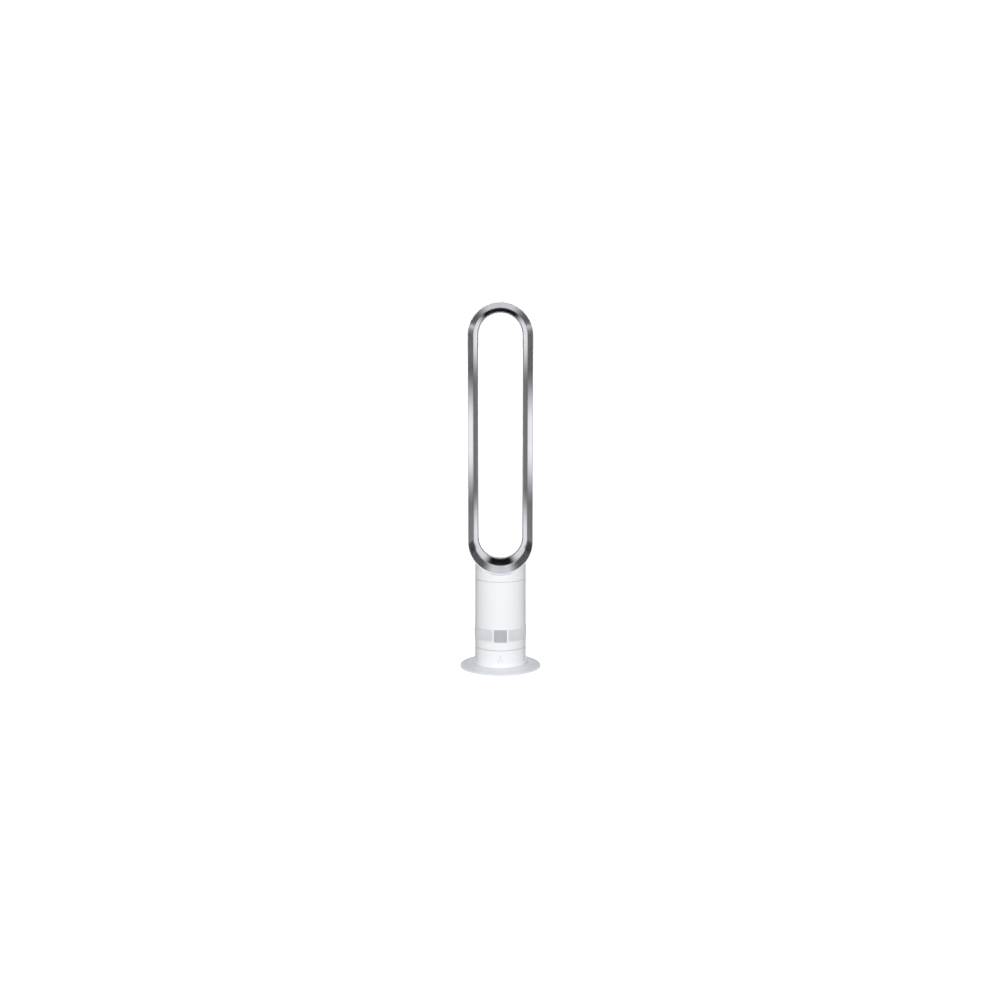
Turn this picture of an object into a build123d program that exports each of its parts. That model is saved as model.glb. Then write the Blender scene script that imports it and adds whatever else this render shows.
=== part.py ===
"""A tower fan of the loop kind, as an assembly of separate pieces, in millimetres.

The origin is on the floor, on the fan's vertical axis. +Z is up and the front faces -Y.
"""
from build123d import *
from math import acos, cos, pi, radians, sin, tan
import os

# ---------------------------------------------------------------- driving dimensions
OVERALL_HEIGHT = 1007.0
FOOT_RADIUS = 113.0
BODY_RADIUS = 71.3
CASING_WALL = 2.5
LOOP_RADIUS = 89.5          # half the loop's width, and the radius of its two round ends
LOOP_FRONT = -55.0          # depth of the loop's front edge
LOOP_BACK = 55.0
ARC_TOP = OVERALL_HEIGHT - LOOP_RADIUS
ARC_BOTTOM = 359.8          # height of the lower round end's centre

# Heights of the base
FLOOR_GAP = 1.2             # the foot stands this far off the floor, on its pads
FOOT_TOP = 13.0             # seat of the base casing on the foot
FLARE_TOP = 24.0            # above this the base casing is a plain cylinder
DECK_BOTTOM = 48.0
DECK_TOP = 50.5
BASE_TOP = 59.9
BUTTON_Z = 29.0

# Heights of the turning part
PLATE_BOTTOM = 57.05
PLATE_TOP = 60.0
CASING_BOTTOM = 60.9
TURNTABLE_TOP = 66.0
GRILLE_BOTTOM = 84.5
GRILLE_TOP = 119.9
CASING_TOP = 251.3
COLLAR_BOTTOM = 252.3
LEDGE_TOP = 200.0
BUCKET_FLANGE = 204.0
SKIRT_BOTTOM = 208.5

# Radii of the body
CASING_INSIDE = BODY_RADIUS - CASING_WALL
BASE_INSIDE = BODY_RADIUS - 2.6
GRILLE_SEAT = 70.1
HUB_RADIUS = 14.0
HUB_BORE = 9.0
TURNTABLE_RADIUS = 66.0
RUNNING_FIT = 0.08

# The loop's section: radius from the loop's centre line, and depth
SHELL_WALL = 2.2
SHELL_INSIDE = LOOP_RADIUS - SHELL_WALL
BEZEL_EDGE = (87.2, LOOP_FRONT)
CREASE = (74.0, -15.0)      # where the front bezel meets the inner ring
THROAT_RADIUS = 62.7        # the inner ring at the outlet slot
THROAT_DEPTH = 36.0
SLOT_DEPTH = 42.0           # behind this the ring curls outwards, into the loop's plenum
TAIL_ROUND = 4.0
RING_WALL = 1.6
RING_BULGE = 0.8            # how far the ring's section bows towards the opening
LIP_RADIUS = 60.5           # the rear lip, inside the slot
LIP_THICKNESS = 1.2
LIP_FRONT = 38.0
LIP_ROUND = 5.0
BACK_ROUND = LOOP_RADIUS - LIP_RADIUS - LIP_ROUND  # the back is two arcs, end to end

# Gears of the oscillation drive
MODULE = 1.5
RING_TEETH = 64
PINION_TEETH = 16
BACKLASH = 0.2
PRESSURE_ANGLE = radians(20)
GEAR_BOTTOM = 51.4
GEAR_CENTRES = MODULE * (RING_TEETH - PINION_TEETH) / 2

UP = (Align.CENTER, Align.CENTER, Align.MIN)


# ---------------------------------------------------------------- shapes used many times
def turn(*outline, mode=Mode.ADD):
    """Revolve a closed outline of (radius, height) points about the vertical axis."""
    with BuildSketch(Plane.XZ) as section:
        with BuildLine():
            Polyline(*outline, close=True)
        make_face()
    revolve(section.sketch, axis=Axis.Z, mode=mode)


def tube(inside, outside, bottom, top, mode=Mode.ADD):
    """A plain ring about the vertical axis."""
    turn((inside, bottom), (outside, bottom), (outside, top), (inside, top), mode=mode)


def block(low, high, mode=Mode.ADD):
    """A box between two corners."""
    sizes = [b - a for a, b in zip(low, high)]
    with Locations(tuple((a + b) / 2 for a, b in zip(low, high))):
        Box(*sizes, mode=mode)


def screws(places, seat, length, shank, head, head_height, points_up=False):
    """Pan-head screws that seat at one height, each with a cross recess in its head."""
    turned = (180, 0, 0) if points_up else (0, 0, 0)
    with Locations(*[Location((x, y, seat), turned) for x, y in places]):
        Cylinder(head, head_height, align=UP)
        Cylinder(shank, length, align=(Align.CENTER, Align.CENTER, Align.MAX))
        with Locations((0, 0, head_height)):
            Box(head * 1.2, head * 0.3, head_height * 0.8, mode=Mode.SUBTRACT)
            Box(head * 0.3, head * 1.2, head_height * 0.8, mode=Mode.SUBTRACT)


def circle_of(count, radius, start=0.0):
    """Centres of equally spaced pieces on a circle."""
    step = 2 * pi / count
    return [
        (radius * cos(radians(start) + i * step), radius * sin(radians(start) + i * step))
        for i in range(count)
    ]


def racetrack(outline):
    """Carry an outline of (radius, depth) round the loop: two round ends and two straights."""
    with BuildPart() as ring:
        for height, way in ((ARC_TOP, -1), (ARC_BOTTOM, 1)):
            with BuildSketch(Plane.XY.offset(height)) as section:
                with BuildLine():
                    outline()
                make_face()
            revolve(section.sketch, axis=Axis((0, 0, height), (0, way, 0)), revolution_arc=90)
        extrude(section.sketch, amount=ARC_TOP - ARC_BOTTOM)
        mirror(about=Plane.YZ)
    return ring.part


def involute(angle):
    """The involute function of a pressure angle."""
    return tan(angle) - angle


def gear_outline(teeth, root, tip, thicker):
    """Corner points of a gear with involute flanks, one tooth centred on the X axis."""
    pitch_radius = MODULE * teeth / 2
    base_radius = pitch_radius * cos(PRESSURE_ANGLE)
    at_pitch = pi / (2 * teeth) + thicker / (2 * pitch_radius) + involute(PRESSURE_ANGLE)
    flank = []
    for radius in (root, (root + pitch_radius) / 2, pitch_radius, (pitch_radius + tip) / 2, tip):
        slope = acos(min(1.0, base_radius / radius))
        flank.append((radius, at_pitch - involute(slope)))
    tooth = [(r, -a) for r, a in flank] + [(r, a) for r, a in reversed(flank)]
    return [
        (r * cos(2 * pi * i / teeth + a), r * sin(2 * pi * i / teeth + a))
        for i in range(teeth)
        for r, a in tooth
    ]


# ---------------------------------------------------------------- the foot
FOOT_SCREWS = circle_of(4, 60.0, 45)
PADS = circle_of(6, 96.0, 30)

with BuildPart() as foot_plate:
    with BuildSketch(Plane.XZ):
        with BuildLine():
            Polyline((0, 8.6), (0, FOOT_TOP), (74.8, FOOT_TOP))
            Spline((74.8, FOOT_TOP), (92.0, 8.2), (110.6, 5.6), tangents=((1, -0.42), (1, -0.1)))
            Spline((110.6, 5.6), (112.6, 4.6), (FOOT_RADIUS, 3.0), tangents=((1, -0.1), (0, -1)))
            Polyline(
                (FOOT_RADIUS, 3.0),
                (FOOT_RADIUS - 0.3, FLOOR_GAP + 0.4),
                (FOOT_RADIUS - 1.0, FLOOR_GAP),
                (106.0, FLOOR_GAP),
                (106.0, 2.6),
                (78.0, 8.6),
                (0, 8.6),
            )
        make_face()
    revolve(axis=Axis.Z)
    with Locations(*[(x, y, FOOT_TOP) for x, y in FOOT_SCREWS]):
        Hole(radius=2.2)

with BuildPart() as foot_ballast:
    tube(32.0, 74.0, 2.6, 8.4)
    with Locations(*[(x, y, 8.4) for x, y in FOOT_SCREWS]):
        Hole(radius=5.0)

with BuildPart() as foot_bottom_cover:
    with Locations((0, 0, FLOOR_GAP)):
        Cylinder(105.7, 1.2, align=UP)
    with Locations(*[(x, y, 2.4) for x, y in FOOT_SCREWS]):
        Hole(radius=4.5)
    with Locations(*[(x, y, FLOOR_GAP) for x, y in PADS]):
        Cylinder(6.05, 0.3, align=UP, mode=Mode.SUBTRACT)

with BuildPart() as foot_pads:
    with Locations(*PADS):
        Cylinder(6.0, FLOOR_GAP + 0.3, align=UP)
    chamfer(foot_pads.edges().group_by(Axis.Z)[0], 0.3)

with BuildPart() as foot_screws:
    screws(FOOT_SCREWS, 8.6, 15.0, 1.9, 3.8, 2.4, points_up=True)

# ---------------------------------------------------------------- the base casing
MOTOR_EARS = [(-22.0, GEAR_CENTRES), (22.0, GEAR_CENTRES)]

with BuildPart() as base_casing:
    with BuildSketch(Plane.XZ):
        with BuildLine():
            flare = Spline(
                (BODY_RADIUS + 2.9, FOOT_TOP), (BODY_RADIUS, FLARE_TOP), tangents=((-0.5, 1), (0, 1))
            )
            Polyline(
                (BODY_RADIUS, FLARE_TOP),
                (BODY_RADIUS, BASE_TOP - 0.4),
                (BODY_RADIUS - 0.4, BASE_TOP),
                (BASE_INSIDE, BASE_TOP),
                (BASE_INSIDE, FLARE_TOP),
            )
            Spline(
                (BASE_INSIDE, FLARE_TOP), (BASE_INSIDE + 2.9, FOOT_TOP), tangents=((0, -1), (0.5, -1))
            )
            Line((BASE_INSIDE + 2.9, FOOT_TOP), (BODY_RADIUS + 2.9, FOOT_TOP))
        make_face()
    revolve(axis=Axis.Z)
    tube(HUB_BORE, BASE_INSIDE + 0.2, DECK_BOTTOM, DECK_TOP)
    tube(HUB_BORE, HUB_RADIUS, DECK_BOTTOM, TURNTABLE_TOP)
    with Locations(*[(x, y, FOOT_TOP) for x, y in FOOT_SCREWS]):
        Cylinder(5.0, DECK_BOTTOM - FOOT_TOP + 0.2, align=UP)
        Cylinder(1.9, 16.0, align=UP, mode=Mode.SUBTRACT)
    for side in (-1, 1):
        block((side * 16 - 2, -50.8, 17.0), (side * 16 + 2, -48.8, DECK_BOTTOM + 0.2))
    with Locations((0, GEAR_CENTRES, DECK_TOP)):
        Hole(radius=4.0)
    with Locations(*[(x, y, DECK_BOTTOM) for x, y in MOTOR_EARS]):
        Cylinder(1.4, 2.0, align=UP, mode=Mode.SUBTRACT)
    with Locations(*[(x, y, TURNTABLE_TOP) for x, y in circle_of(3, 11.5, 90)]):
        Cylinder(1.1, 8.0, align=(Align.CENTER, Align.CENTER, Align.MAX), mode=Mode.SUBTRACT)
    with Locations(Location((0, -BODY_RADIUS, BUTTON_Z), (90, 0, 0))):
        Cylinder(6.75, 12.0, mode=Mode.SUBTRACT)
    block((-0.95, -75.0, 37.3), (0.95, -60.0, 46.9), mode=Mode.SUBTRACT)
    with Locations(Location((0, BODY_RADIUS, FLARE_TOP + 6), (90, 0, 0))):
        Cylinder(6.0, 12.0, mode=Mode.SUBTRACT)

with BuildPart() as cord_gland:
    with BuildSketch(Plane((0, 64.0, FLARE_TOP + 6), x_dir=(1, 0, 0), z_dir=(0, 1, 0))):
        Circle(5.95)
    extrude(amount=10.4)
    for start, reach in ((64.0, 2.4), (71.7, 2.7)):
        with BuildSketch(Plane((0, start, FLARE_TOP + 6), x_dir=(1, 0, 0), z_dir=(0, 1, 0))):
            Circle(8.0)
        extrude(amount=reach)
    chamfer(cord_gland.edges().group_by(Axis.Y)[-1], 0.8)
    with BuildSketch(Plane((0, 60.0, FLARE_TOP + 6), x_dir=(1, 0, 0), z_dir=(0, 1, 0))):
        Circle(2.7)
    extrude(amount=20.0, mode=Mode.SUBTRACT)

with BuildPart() as glide_ring:
    turn((56, DECK_TOP), (62, DECK_TOP), (62, 56.4), (61.4, 57), (56.6, 57), (56, 56.4))

# ---------------------------------------------------------------- the oscillation drive
with BuildPart() as oscillation_motor:
    with Locations((0, GEAR_CENTRES, 29.0)):
        Cylinder(18.0, 17.0, align=UP)
    fillet(oscillation_motor.edges().group_by(Axis.Z)[0], 1.5)
    with BuildSketch(Plane.XY.offset(DECK_BOTTOM - 2.0)):
        with Locations((0, GEAR_CENTRES)):
            SlotOverall(52.0, 8.0)
            Circle(18.0)
        with Locations(*MOTOR_EARS):
            Circle(1.6, mode=Mode.SUBTRACT)
    extrude(amount=2.0)
    with Locations((0, GEAR_CENTRES, DECK_BOTTOM)):
        Cylinder(2.1, 19.0, align=(Align.CENTER, Align.CENTER, Align.MAX), mode=Mode.SUBTRACT)

with BuildPart() as oscillation_motor_screws:
    screws(MOTOR_EARS, DECK_BOTTOM - 2.0, 4.0, 1.4, 2.8, 2.0, points_up=True)

with BuildPart() as oscillation_pinion:
    with BuildSketch(Plane((0, GEAR_CENTRES, GEAR_BOTTOM))):
        with BuildLine():
            Polyline(*gear_outline(PINION_TEETH, 10.2, 13.4, -BACKLASH), close=True)
        make_face()
    extrude(amount=5.0)
    with Locations((0, GEAR_CENTRES, 30.0)):
        Cylinder(2.0, 22.0, align=UP)

with BuildPart() as ring_gear:
    with BuildSketch(Plane.XY.offset(GEAR_BOTTOM)):
        Circle(54.0)
        with BuildLine():
            Polyline(*gear_outline(RING_TEETH, 46.8, 50.0, BACKLASH), close=True)
        make_face(mode=Mode.SUBTRACT)
    extrude(amount=PLATE_BOTTOM - GEAR_BOTTOM)
    with Locations(*[(x, y, PLATE_BOTTOM) for x, y in circle_of(4, 52.0, 45)]):
        Cylinder(1.2, 2.0, align=UP)

# ---------------------------------------------------------------- power button and its board
FRONT_PLANE = Plane((0, 0, BUTTON_Z), x_dir=(1, 0, 0), z_dir=(0, -1, 0))

with BuildPart() as power_button:
    with BuildSketch(FRONT_PLANE.offset(64.0)):
        Circle(6.5)
    extrude(amount=10.0)
    with BuildSketch(Plane.XY.offset(BUTTON_Z - 10)):
        Circle(BODY_RADIUS + 0.35)
    extrude(amount=20.0, mode=Mode.INTERSECT)
    for start, reach, radius in ((64.0, 2.4, 7.6), (57.8, 6.3, 2.0), (55.6, 2.3, 1.3)):
        with BuildSketch(FRONT_PLANE.offset(start)):
            Circle(radius)
        extrude(amount=reach)

with BuildPart() as power_switch:
    block((-3.0, -56.4, BUTTON_Z - 3.0), (3.0, -52.4, BUTTON_Z + 3.0))
    with BuildSketch(FRONT_PLANE.offset(54.0)):
        Circle(1.5)
    extrude(amount=5.0, mode=Mode.SUBTRACT)

with BuildPart() as switch_board:
    block((-20.0, -52.4, 17.0), (20.0, -50.8, 47.0))
    block((-1.0, -53.2, 39.5), (1.0, -52.4, 44.5))
    block((8.0, -55.4, 19.0), (17.0, -52.4, 25.0))

with BuildPart() as status_light_pipe:
    block((-0.8, -75.0, 37.5), (0.8, -53.2, 46.7))
    with BuildSketch(Plane.XY.offset(30)):
        Circle(BODY_RADIUS + 0.1)
    extrude(amount=20.0, mode=Mode.INTERSECT)

# ---------------------------------------------------------------- the swivel
with BuildPart() as swivel_retainer:
    tube(HUB_BORE + 0.2, 20.0, TURNTABLE_TOP, TURNTABLE_TOP + 2.0)
    with Locations(*[(x, y, TURNTABLE_TOP + 2.0) for x, y in circle_of(3, 11.5, 90)]):
        Hole(radius=1.3)

with BuildPart() as retainer_screws:
    screws(circle_of(3, 11.5, 90), TURNTABLE_TOP + 2.0, 9.0, 1.1, 2.2, 1.6)

with BuildPart() as hub_cable:
    with Locations((0, 0, FOOT_TOP)):
        Cylinder(4.0, 62.0, align=UP)

with BuildPart() as turntable:
    turn(
        (HUB_RADIUS + RUNNING_FIT, PLATE_BOTTOM),
        (TURNTABLE_RADIUS, PLATE_BOTTOM),
        (TURNTABLE_RADIUS, 61.2),
        (CASING_INSIDE - 0.1, 61.2),
        (CASING_INSIDE - 0.1, TURNTABLE_TOP),
        (62.0, TURNTABLE_TOP),
        (62.0, PLATE_TOP),
        (20.0, PLATE_TOP),
        (20.0, TURNTABLE_TOP - 0.1),
        (HUB_RADIUS + RUNNING_FIT, TURNTABLE_TOP - 0.1),
    )
    with Locations(*[(x, y, PLATE_TOP - 0.2) for x, y in circle_of(4, 50.0, 0)]):
        Cylinder(3.5, 14.2, align=UP)
    with Locations(*[(x, y, 74.0) for x, y in circle_of(4, 50.0, 0)]):
        Cylinder(1.3, 8.0, align=(Align.CENTER, Align.CENTER, Align.MAX), mode=Mode.SUBTRACT)
    with Locations(*[(x, y, TURNTABLE_TOP) for x, y in circle_of(4, 65.3, 45)]):
        Cylinder(1.3, 7.0, align=(Align.CENTER, Align.CENTER, Align.MAX), mode=Mode.SUBTRACT)
    with Locations(*[(x, y, PLATE_BOTTOM) for x, y in circle_of(4, 52.0, 45)]):
        Cylinder(1.25, 2.1, align=UP, mode=Mode.SUBTRACT)

# ---------------------------------------------------------------- the body casing
WINDOW_HALF = 17.7
FRAME_HALF = 20.4
WINDOW_LOW, WINDOW_HIGH = 83.9, 118.8
FRAME_LOW = 83.0
BOARD_POSTS = [(-16.6, 88.5), (16.6, 88.5), (-16.6, 115.5), (16.6, 115.5)]

with BuildPart() as body_casing:
    turn(
        (BODY_RADIUS - 0.4, CASING_BOTTOM),
        (BODY_RADIUS, CASING_BOTTOM + 0.4),
        (BODY_RADIUS, GRILLE_BOTTOM - 0.1),
        (GRILLE_SEAT, GRILLE_BOTTOM - 0.1),
        (GRILLE_SEAT, GRILLE_TOP + 0.1),
        (BODY_RADIUS, GRILLE_TOP + 0.1),
        (BODY_RADIUS, CASING_TOP - 0.4),
        (BODY_RADIUS - 0.4, CASING_TOP),
        (CASING_INSIDE, CASING_TOP),
        (CASING_INSIDE, CASING_BOTTOM),
    )
    tube(61.5, CASING_INSIDE + 0.2, TURNTABLE_TOP, TURNTABLE_TOP + 2.5)
    tube(61.0, CASING_INSIDE + 0.2, LEDGE_TOP - 3.0, LEDGE_TOP)
    with Locations(*[(x, y, TURNTABLE_TOP + 2.5) for x, y in circle_of(4, 65.3, 45)]):
        Cylinder(1.7, 2.5, align=(Align.CENTER, Align.CENTER, Align.MAX), mode=Mode.SUBTRACT)
    for turn_deg in range(36, 360, 36):
        with Locations(Location((0, 0, 102.0), (0, 0, turn_deg))):
            with Locations((0, -BODY_RADIUS, 0)):
                Box(34.0, 16.0, 28.0, mode=Mode.SUBTRACT)
    block((-15, -80, 87), (15, -60, 116), mode=Mode.SUBTRACT)
    with BuildSketch(Plane.XY.offset(FRAME_LOW - 0.1)):
        with Locations((0, -BODY_RADIUS)):
            Rectangle(2 * FRAME_HALF + 0.2, 20.0)
        Circle(GRILLE_SEAT, mode=Mode.SUBTRACT)
    extrude(amount=GRILLE_TOP + 0.1 - FRAME_LOW + 0.1, mode=Mode.SUBTRACT)
    for post in BOARD_POSTS:
        with BuildSketch(Plane((post[0], -62.6, post[1]), x_dir=(1, 0, 0), z_dir=(0, -1, 0))):
            Circle(1.3)
        extrude(amount=5.4)

with BuildPart() as casing_screws:
    screws(circle_of(4, 65.3, 45), TURNTABLE_TOP + 2.5, 9.0, 1.3, 2.6, 2.0)

with BuildPart() as inlet_grille:
    with BuildSketch(Plane.XZ):
        with BuildLine():
            Line((GRILLE_SEAT + 0.05, GRILLE_BOTTOM), (71.7, GRILLE_BOTTOM))
            ThreePointArc(
                (71.7, GRILLE_BOTTOM), (72.7, (GRILLE_BOTTOM + GRILLE_TOP) / 2), (71.7, GRILLE_TOP)
            )
            Polyline(
                (71.7, GRILLE_TOP), (GRILLE_SEAT + 0.05, GRILLE_TOP), (GRILLE_SEAT + 0.05, GRILLE_BOTTOM)
            )
        make_face()
    revolve(axis=Axis.Z)
    block((-FRAME_HALF - 0.05, -80, 80), (FRAME_HALF + 0.05, -60, 125), mode=Mode.SUBTRACT)
    with Locations((0, 0, (GRILLE_BOTTOM + GRILLE_TOP) / 2)):
        with PolarLocations(BODY_RADIUS, 80, start_angle=-70, angular_range=320, endpoint=True):
            Box(8.0, 2.4, 26.0, mode=Mode.SUBTRACT)

# ---------------------------------------------------------------- the display
with BuildPart() as display_frame:
    tube(GRILLE_SEAT + 0.05, BODY_RADIUS + 1.35, FRAME_LOW, GRILLE_TOP)
    with BuildSketch(Plane.XZ):
        with Locations((0, (FRAME_LOW + GRILLE_TOP) / 2)):
            Rectangle(2 * FRAME_HALF, GRILLE_TOP - FRAME_LOW)
            Rectangle(2 * WINDOW_HALF + 0.1, WINDOW_HIGH - WINDOW_LOW + 0.1, mode=Mode.SUBTRACT)
    extrude(amount=90.0, mode=Mode.INTERSECT)

with BuildPart() as display_window:
    tube(GRILLE_SEAT + 0.05, BODY_RADIUS + 1.45, WINDOW_LOW, WINDOW_HIGH)
    with BuildSketch(Plane.XZ):
        with Locations((0, (FRAME_LOW + GRILLE_TOP) / 2)):
            RectangleRounded(2 * WINDOW_HALF, WINDOW_HIGH - WINDOW_LOW, 1.5)
    extrude(amount=90.0, mode=Mode.INTERSECT)

with BuildPart() as display_board:
    block((-18.5, -62.6, 86.0), (18.5, -61.0, 118.0))
    block((-14.0, -61.0, 92.0), (-4.0, -59.4, 98.0))
    block((2.0, -61.0, 100.0), (9.0, -59.8, 107.0))

with BuildPart() as display_module:
    block((-12.0, -68.0, 94.0), (12.0, -62.6, 112.0))

with BuildPart() as infrared_receiver:
    block((-8.5, -66.6, 87.2), (-3.5, -62.6, 92.6))

# ---------------------------------------------------------------- the motor driver
MAIN_BOARD_Z = 74.0

with BuildPart() as main_board:
    tube(5.0, 58.0, MAIN_BOARD_Z, MAIN_BOARD_Z + 1.6)
    with Locations(*[(x, y, MAIN_BOARD_Z + 1.6) for x, y in circle_of(4, 50.0, 0)]):
        Hole(radius=1.6)
    for x in (-24.0, 0.0, 24.0):
        block((x - 6, 30.0, MAIN_BOARD_Z + 1.6), (x + 6, 40.0, MAIN_BOARD_Z + 5.0))

with BuildPart() as board_screws:
    screws(circle_of(4, 50.0, 0), MAIN_BOARD_Z + 1.6, 8.0, 1.3, 2.7, 2.0)

with BuildPart() as smoothing_capacitors:
    with Locations(*[(x, -34.0, MAIN_BOARD_Z + 1.6) for x in (-14.0, 0.0, 14.0)]):
        Cylinder(5.0, 8.0, align=UP)
    fillet(smoothing_capacitors.edges().group_by(Axis.Z)[-1], 0.8)

with BuildPart() as driver_heatsink:
    block((18.0, -12.0, MAIN_BOARD_Z + 1.6), (42.0, 12.0, MAIN_BOARD_Z + 3.2))
    for i in range(7):
        block((19.0, -11.4 + i * 3.6, MAIN_BOARD_Z + 3.0), (41.0, -10.2 + i * 3.6, MAIN_BOARD_Z + 9.6))

# ---------------------------------------------------------------- the impeller bucket
BUCKET_INSIDE = 58.0
TIP_CLEARANCE = 0.9
BLADES = 9
VANES = 13

with BuildPart() as impeller_bucket:
    turn(
        (50.0, 124.0),
        (46.0, 132.0),
        (BUCKET_INSIDE, 168.0),
        (BUCKET_INSIDE, BUCKET_FLANGE + 2.0),
        (CASING_INSIDE - 0.3, BUCKET_FLANGE + 2.0),
        (CASING_INSIDE - 0.3, BUCKET_FLANGE),
        (BUCKET_INSIDE + 2.0, BUCKET_FLANGE),
        (BUCKET_INSIDE + 2.0, 167.6),
        (48.2, 132.2),
        (52.4, 124.0),
    )

with BuildPart() as isolation_mounts:
    with Locations(*[(x, y, LEDGE_TOP) for x, y in circle_of(6, 65.0, 0)]):
        Cylinder(3.0, BUCKET_FLANGE - LEDGE_TOP, align=UP)
        Cylinder(3.6, 1.2, align=UP)

with BuildPart() as bucket_seal:
    turn(
        (62.5, BUCKET_FLANGE + 2.0),
        (CASING_INSIDE - 0.4, BUCKET_FLANGE + 2.0),
        (CASING_INSIDE - 0.4, SKIRT_BOTTOM),
        (65.5, SKIRT_BOTTOM),
        (64.0, SKIRT_BOTTOM - 1.2),
        (62.5, SKIRT_BOTTOM - 1.2),
    )

with BuildPart() as silencer_foam:
    tube(62.3, CASING_INSIDE - 0.3, 126.0, 190.0)

# ---------------------------------------------------------------- the rotor
SHAFT_RADIUS = 3.0
MAGNET_RADIUS = 9.0
MAGNET_LOW, MAGNET_HIGH = 180.0, 192.0

with BuildPart() as impeller:
    with Locations((0, 0, 150.0)):
        with PolarLocations(34.0, BLADES):
            Box(64.0, 1.6, 70.0, rotation=(38, 0, 0))
    turn(
        (13.4, 133.0),
        (46.2 - TIP_CLEARANCE, 133.0),
        (57.2 - TIP_CLEARANCE, 166.0),
        (37.0, 166.8),
        mode=Mode.INTERSECT,
    )
    turn(
        (14.0, 132.0),
        (38.0, 168.0),
        (35.8, 168.0),
        (12.6, 134.5),
        (SHAFT_RADIUS, 134.5),
        (SHAFT_RADIUS, 132.0),
    )
    tube(SHAFT_RADIUS, 8.0, 132.0, 164.0)

with BuildPart() as rotor_shaft:
    with Locations((0, 0, 130.0)):
        Cylinder(SHAFT_RADIUS, 73.5, align=UP)
    chamfer(rotor_shaft.edges(), 0.4)

with BuildPart() as rotor_magnet:
    tube(SHAFT_RADIUS, MAGNET_RADIUS, MAGNET_LOW, MAGNET_HIGH)

# ---------------------------------------------------------------- the motor
HOUSING_RADIUS = 30.0
HOUSING_INSIDE = 28.0
BEARING_RADIUS = 8.0
BEARING_FIT = 0.03

with BuildPart() as motor_housing:
    turn(
        (3.6, 170.0),
        (HOUSING_RADIUS, 170.0),
        (HOUSING_RADIUS, 203.0),
        (HOUSING_INSIDE, 203.0),
        (HOUSING_INSIDE, 172.0),
        (11.0, 172.0),
        (11.0, 177.0),
        (BEARING_RADIUS, 177.0),
        (BEARING_RADIUS, 171.5),
        (3.6, 171.5),
    )

with BuildPart() as motor_end_cap:
    turn(
        (BEARING_RADIUS, 197.0),
        (11.0, 197.0),
        (11.0, 203.0),
        (HOUSING_RADIUS, 203.0),
        (HOUSING_RADIUS, 205.0),
        (3.6, 205.0),
        (3.6, 202.0),
        (BEARING_RADIUS, 202.0),
    )

with BuildPart() as motor_bearings:
    tube(SHAFT_RADIUS + BEARING_FIT, BEARING_RADIUS, 171.6, 176.6)
    tube(SHAFT_RADIUS + BEARING_FIT, BEARING_RADIUS, 197.0, 202.0)

with BuildPart() as stator_core:
    with BuildSketch(Plane.XY.offset(MAGNET_LOW)):
        Circle(HOUSING_INSIDE)
        Circle(21.0, mode=Mode.SUBTRACT)
        with PolarLocations(16.0, 6):
            Rectangle(11.0, 3.2)
        with PolarLocations(11.0, 6):
            Rectangle(1.6, 8.0)
        Circle(MAGNET_RADIUS + 0.8, mode=Mode.SUBTRACT)
    extrude(amount=MAGNET_HIGH - MAGNET_LOW)

with BuildPart() as stator_windings:
    with Locations((0, 0, (MAGNET_LOW + MAGNET_HIGH) / 2)):
        with PolarLocations(15.8, 6):
            Box(6.0, 7.2, 17.0)
            Box(7.0, 3.2, MAGNET_HIGH - MAGNET_LOW, mode=Mode.SUBTRACT)

with BuildPart() as diffuser:
    with Locations((0, 0, 187.5)):
        with PolarLocations(44.0, VANES):
            Box(40.0, 1.6, 50.0, rotation=(-24, 0, 0))
    tube(30.6, 57.0, 174.0, 201.0, mode=Mode.INTERSECT)
    tube(HOUSING_RADIUS, 31.5, 172.0, 203.0)
    tube(56.2, BUCKET_INSIDE - 0.05, 172.0, 203.0)

with BuildPart() as motor_fairing:
    with BuildSketch(Plane.XZ):
        with BuildLine():
            Spline((31.5, 205.0), (22.0, 227.0), (0, 235.0), tangents=((0, 1), (-1, 0)))
            Line((0, 235.0), (0, 233.0))
            Spline((0, 233.0), (20.6, 225.5), (29.5, 205.0), tangents=((1, 0), (0, -1)))
            Line((29.5, 205.0), (31.5, 205.0))
        make_face()
    revolve(axis=Axis.Z)

# ---------------------------------------------------------------- the neck collar
DUCT_LONG, DUCT_WIDE = 90.0, 54.0
DUCT_WALL = 2.0
LOOP_END_AXIS = Plane((0, 0, ARC_BOTTOM), x_dir=(1, 0, 0), z_dir=(0, -1, 0))

NECK_TOP = ARC_BOTTOM - 50

with BuildPart() as neck_space:
    tube(0, BODY_RADIUS - 2.7, COLLAR_BOTTOM + 2, NECK_TOP)
    with BuildSketch(LOOP_END_AXIS.offset(-100)):
        Circle(LOOP_RADIUS + 0.15 + CASING_WALL)
    extrude(amount=200.0, mode=Mode.SUBTRACT)

with BuildPart() as neck_collar:
    turn(
        (0, SKIRT_BOTTOM),
        (CASING_INSIDE - 0.1, SKIRT_BOTTOM),
        (CASING_INSIDE - 0.1, COLLAR_BOTTOM),
        (BODY_RADIUS - 0.4, COLLAR_BOTTOM),
        (BODY_RADIUS, COLLAR_BOTTOM + 0.4),
        (BODY_RADIUS, NECK_TOP),
        (0, NECK_TOP),
    )
    with BuildSketch(LOOP_END_AXIS.offset(-100)):
        Circle(LOOP_RADIUS + 0.15)
    extrude(amount=200.0, mode=Mode.SUBTRACT)
    tube(0, CASING_INSIDE - 2.6, SKIRT_BOTTOM - 1, COLLAR_BOTTOM + 2, mode=Mode.SUBTRACT)
    add(neck_space.part, mode=Mode.SUBTRACT)
    with BuildSketch(Plane.XY.offset(COLLAR_BOTTOM)):
        SlotOverall(DUCT_LONG + 0.6, DUCT_WIDE + 0.6)
    extrude(amount=50.0, mode=Mode.SUBTRACT)

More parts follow.
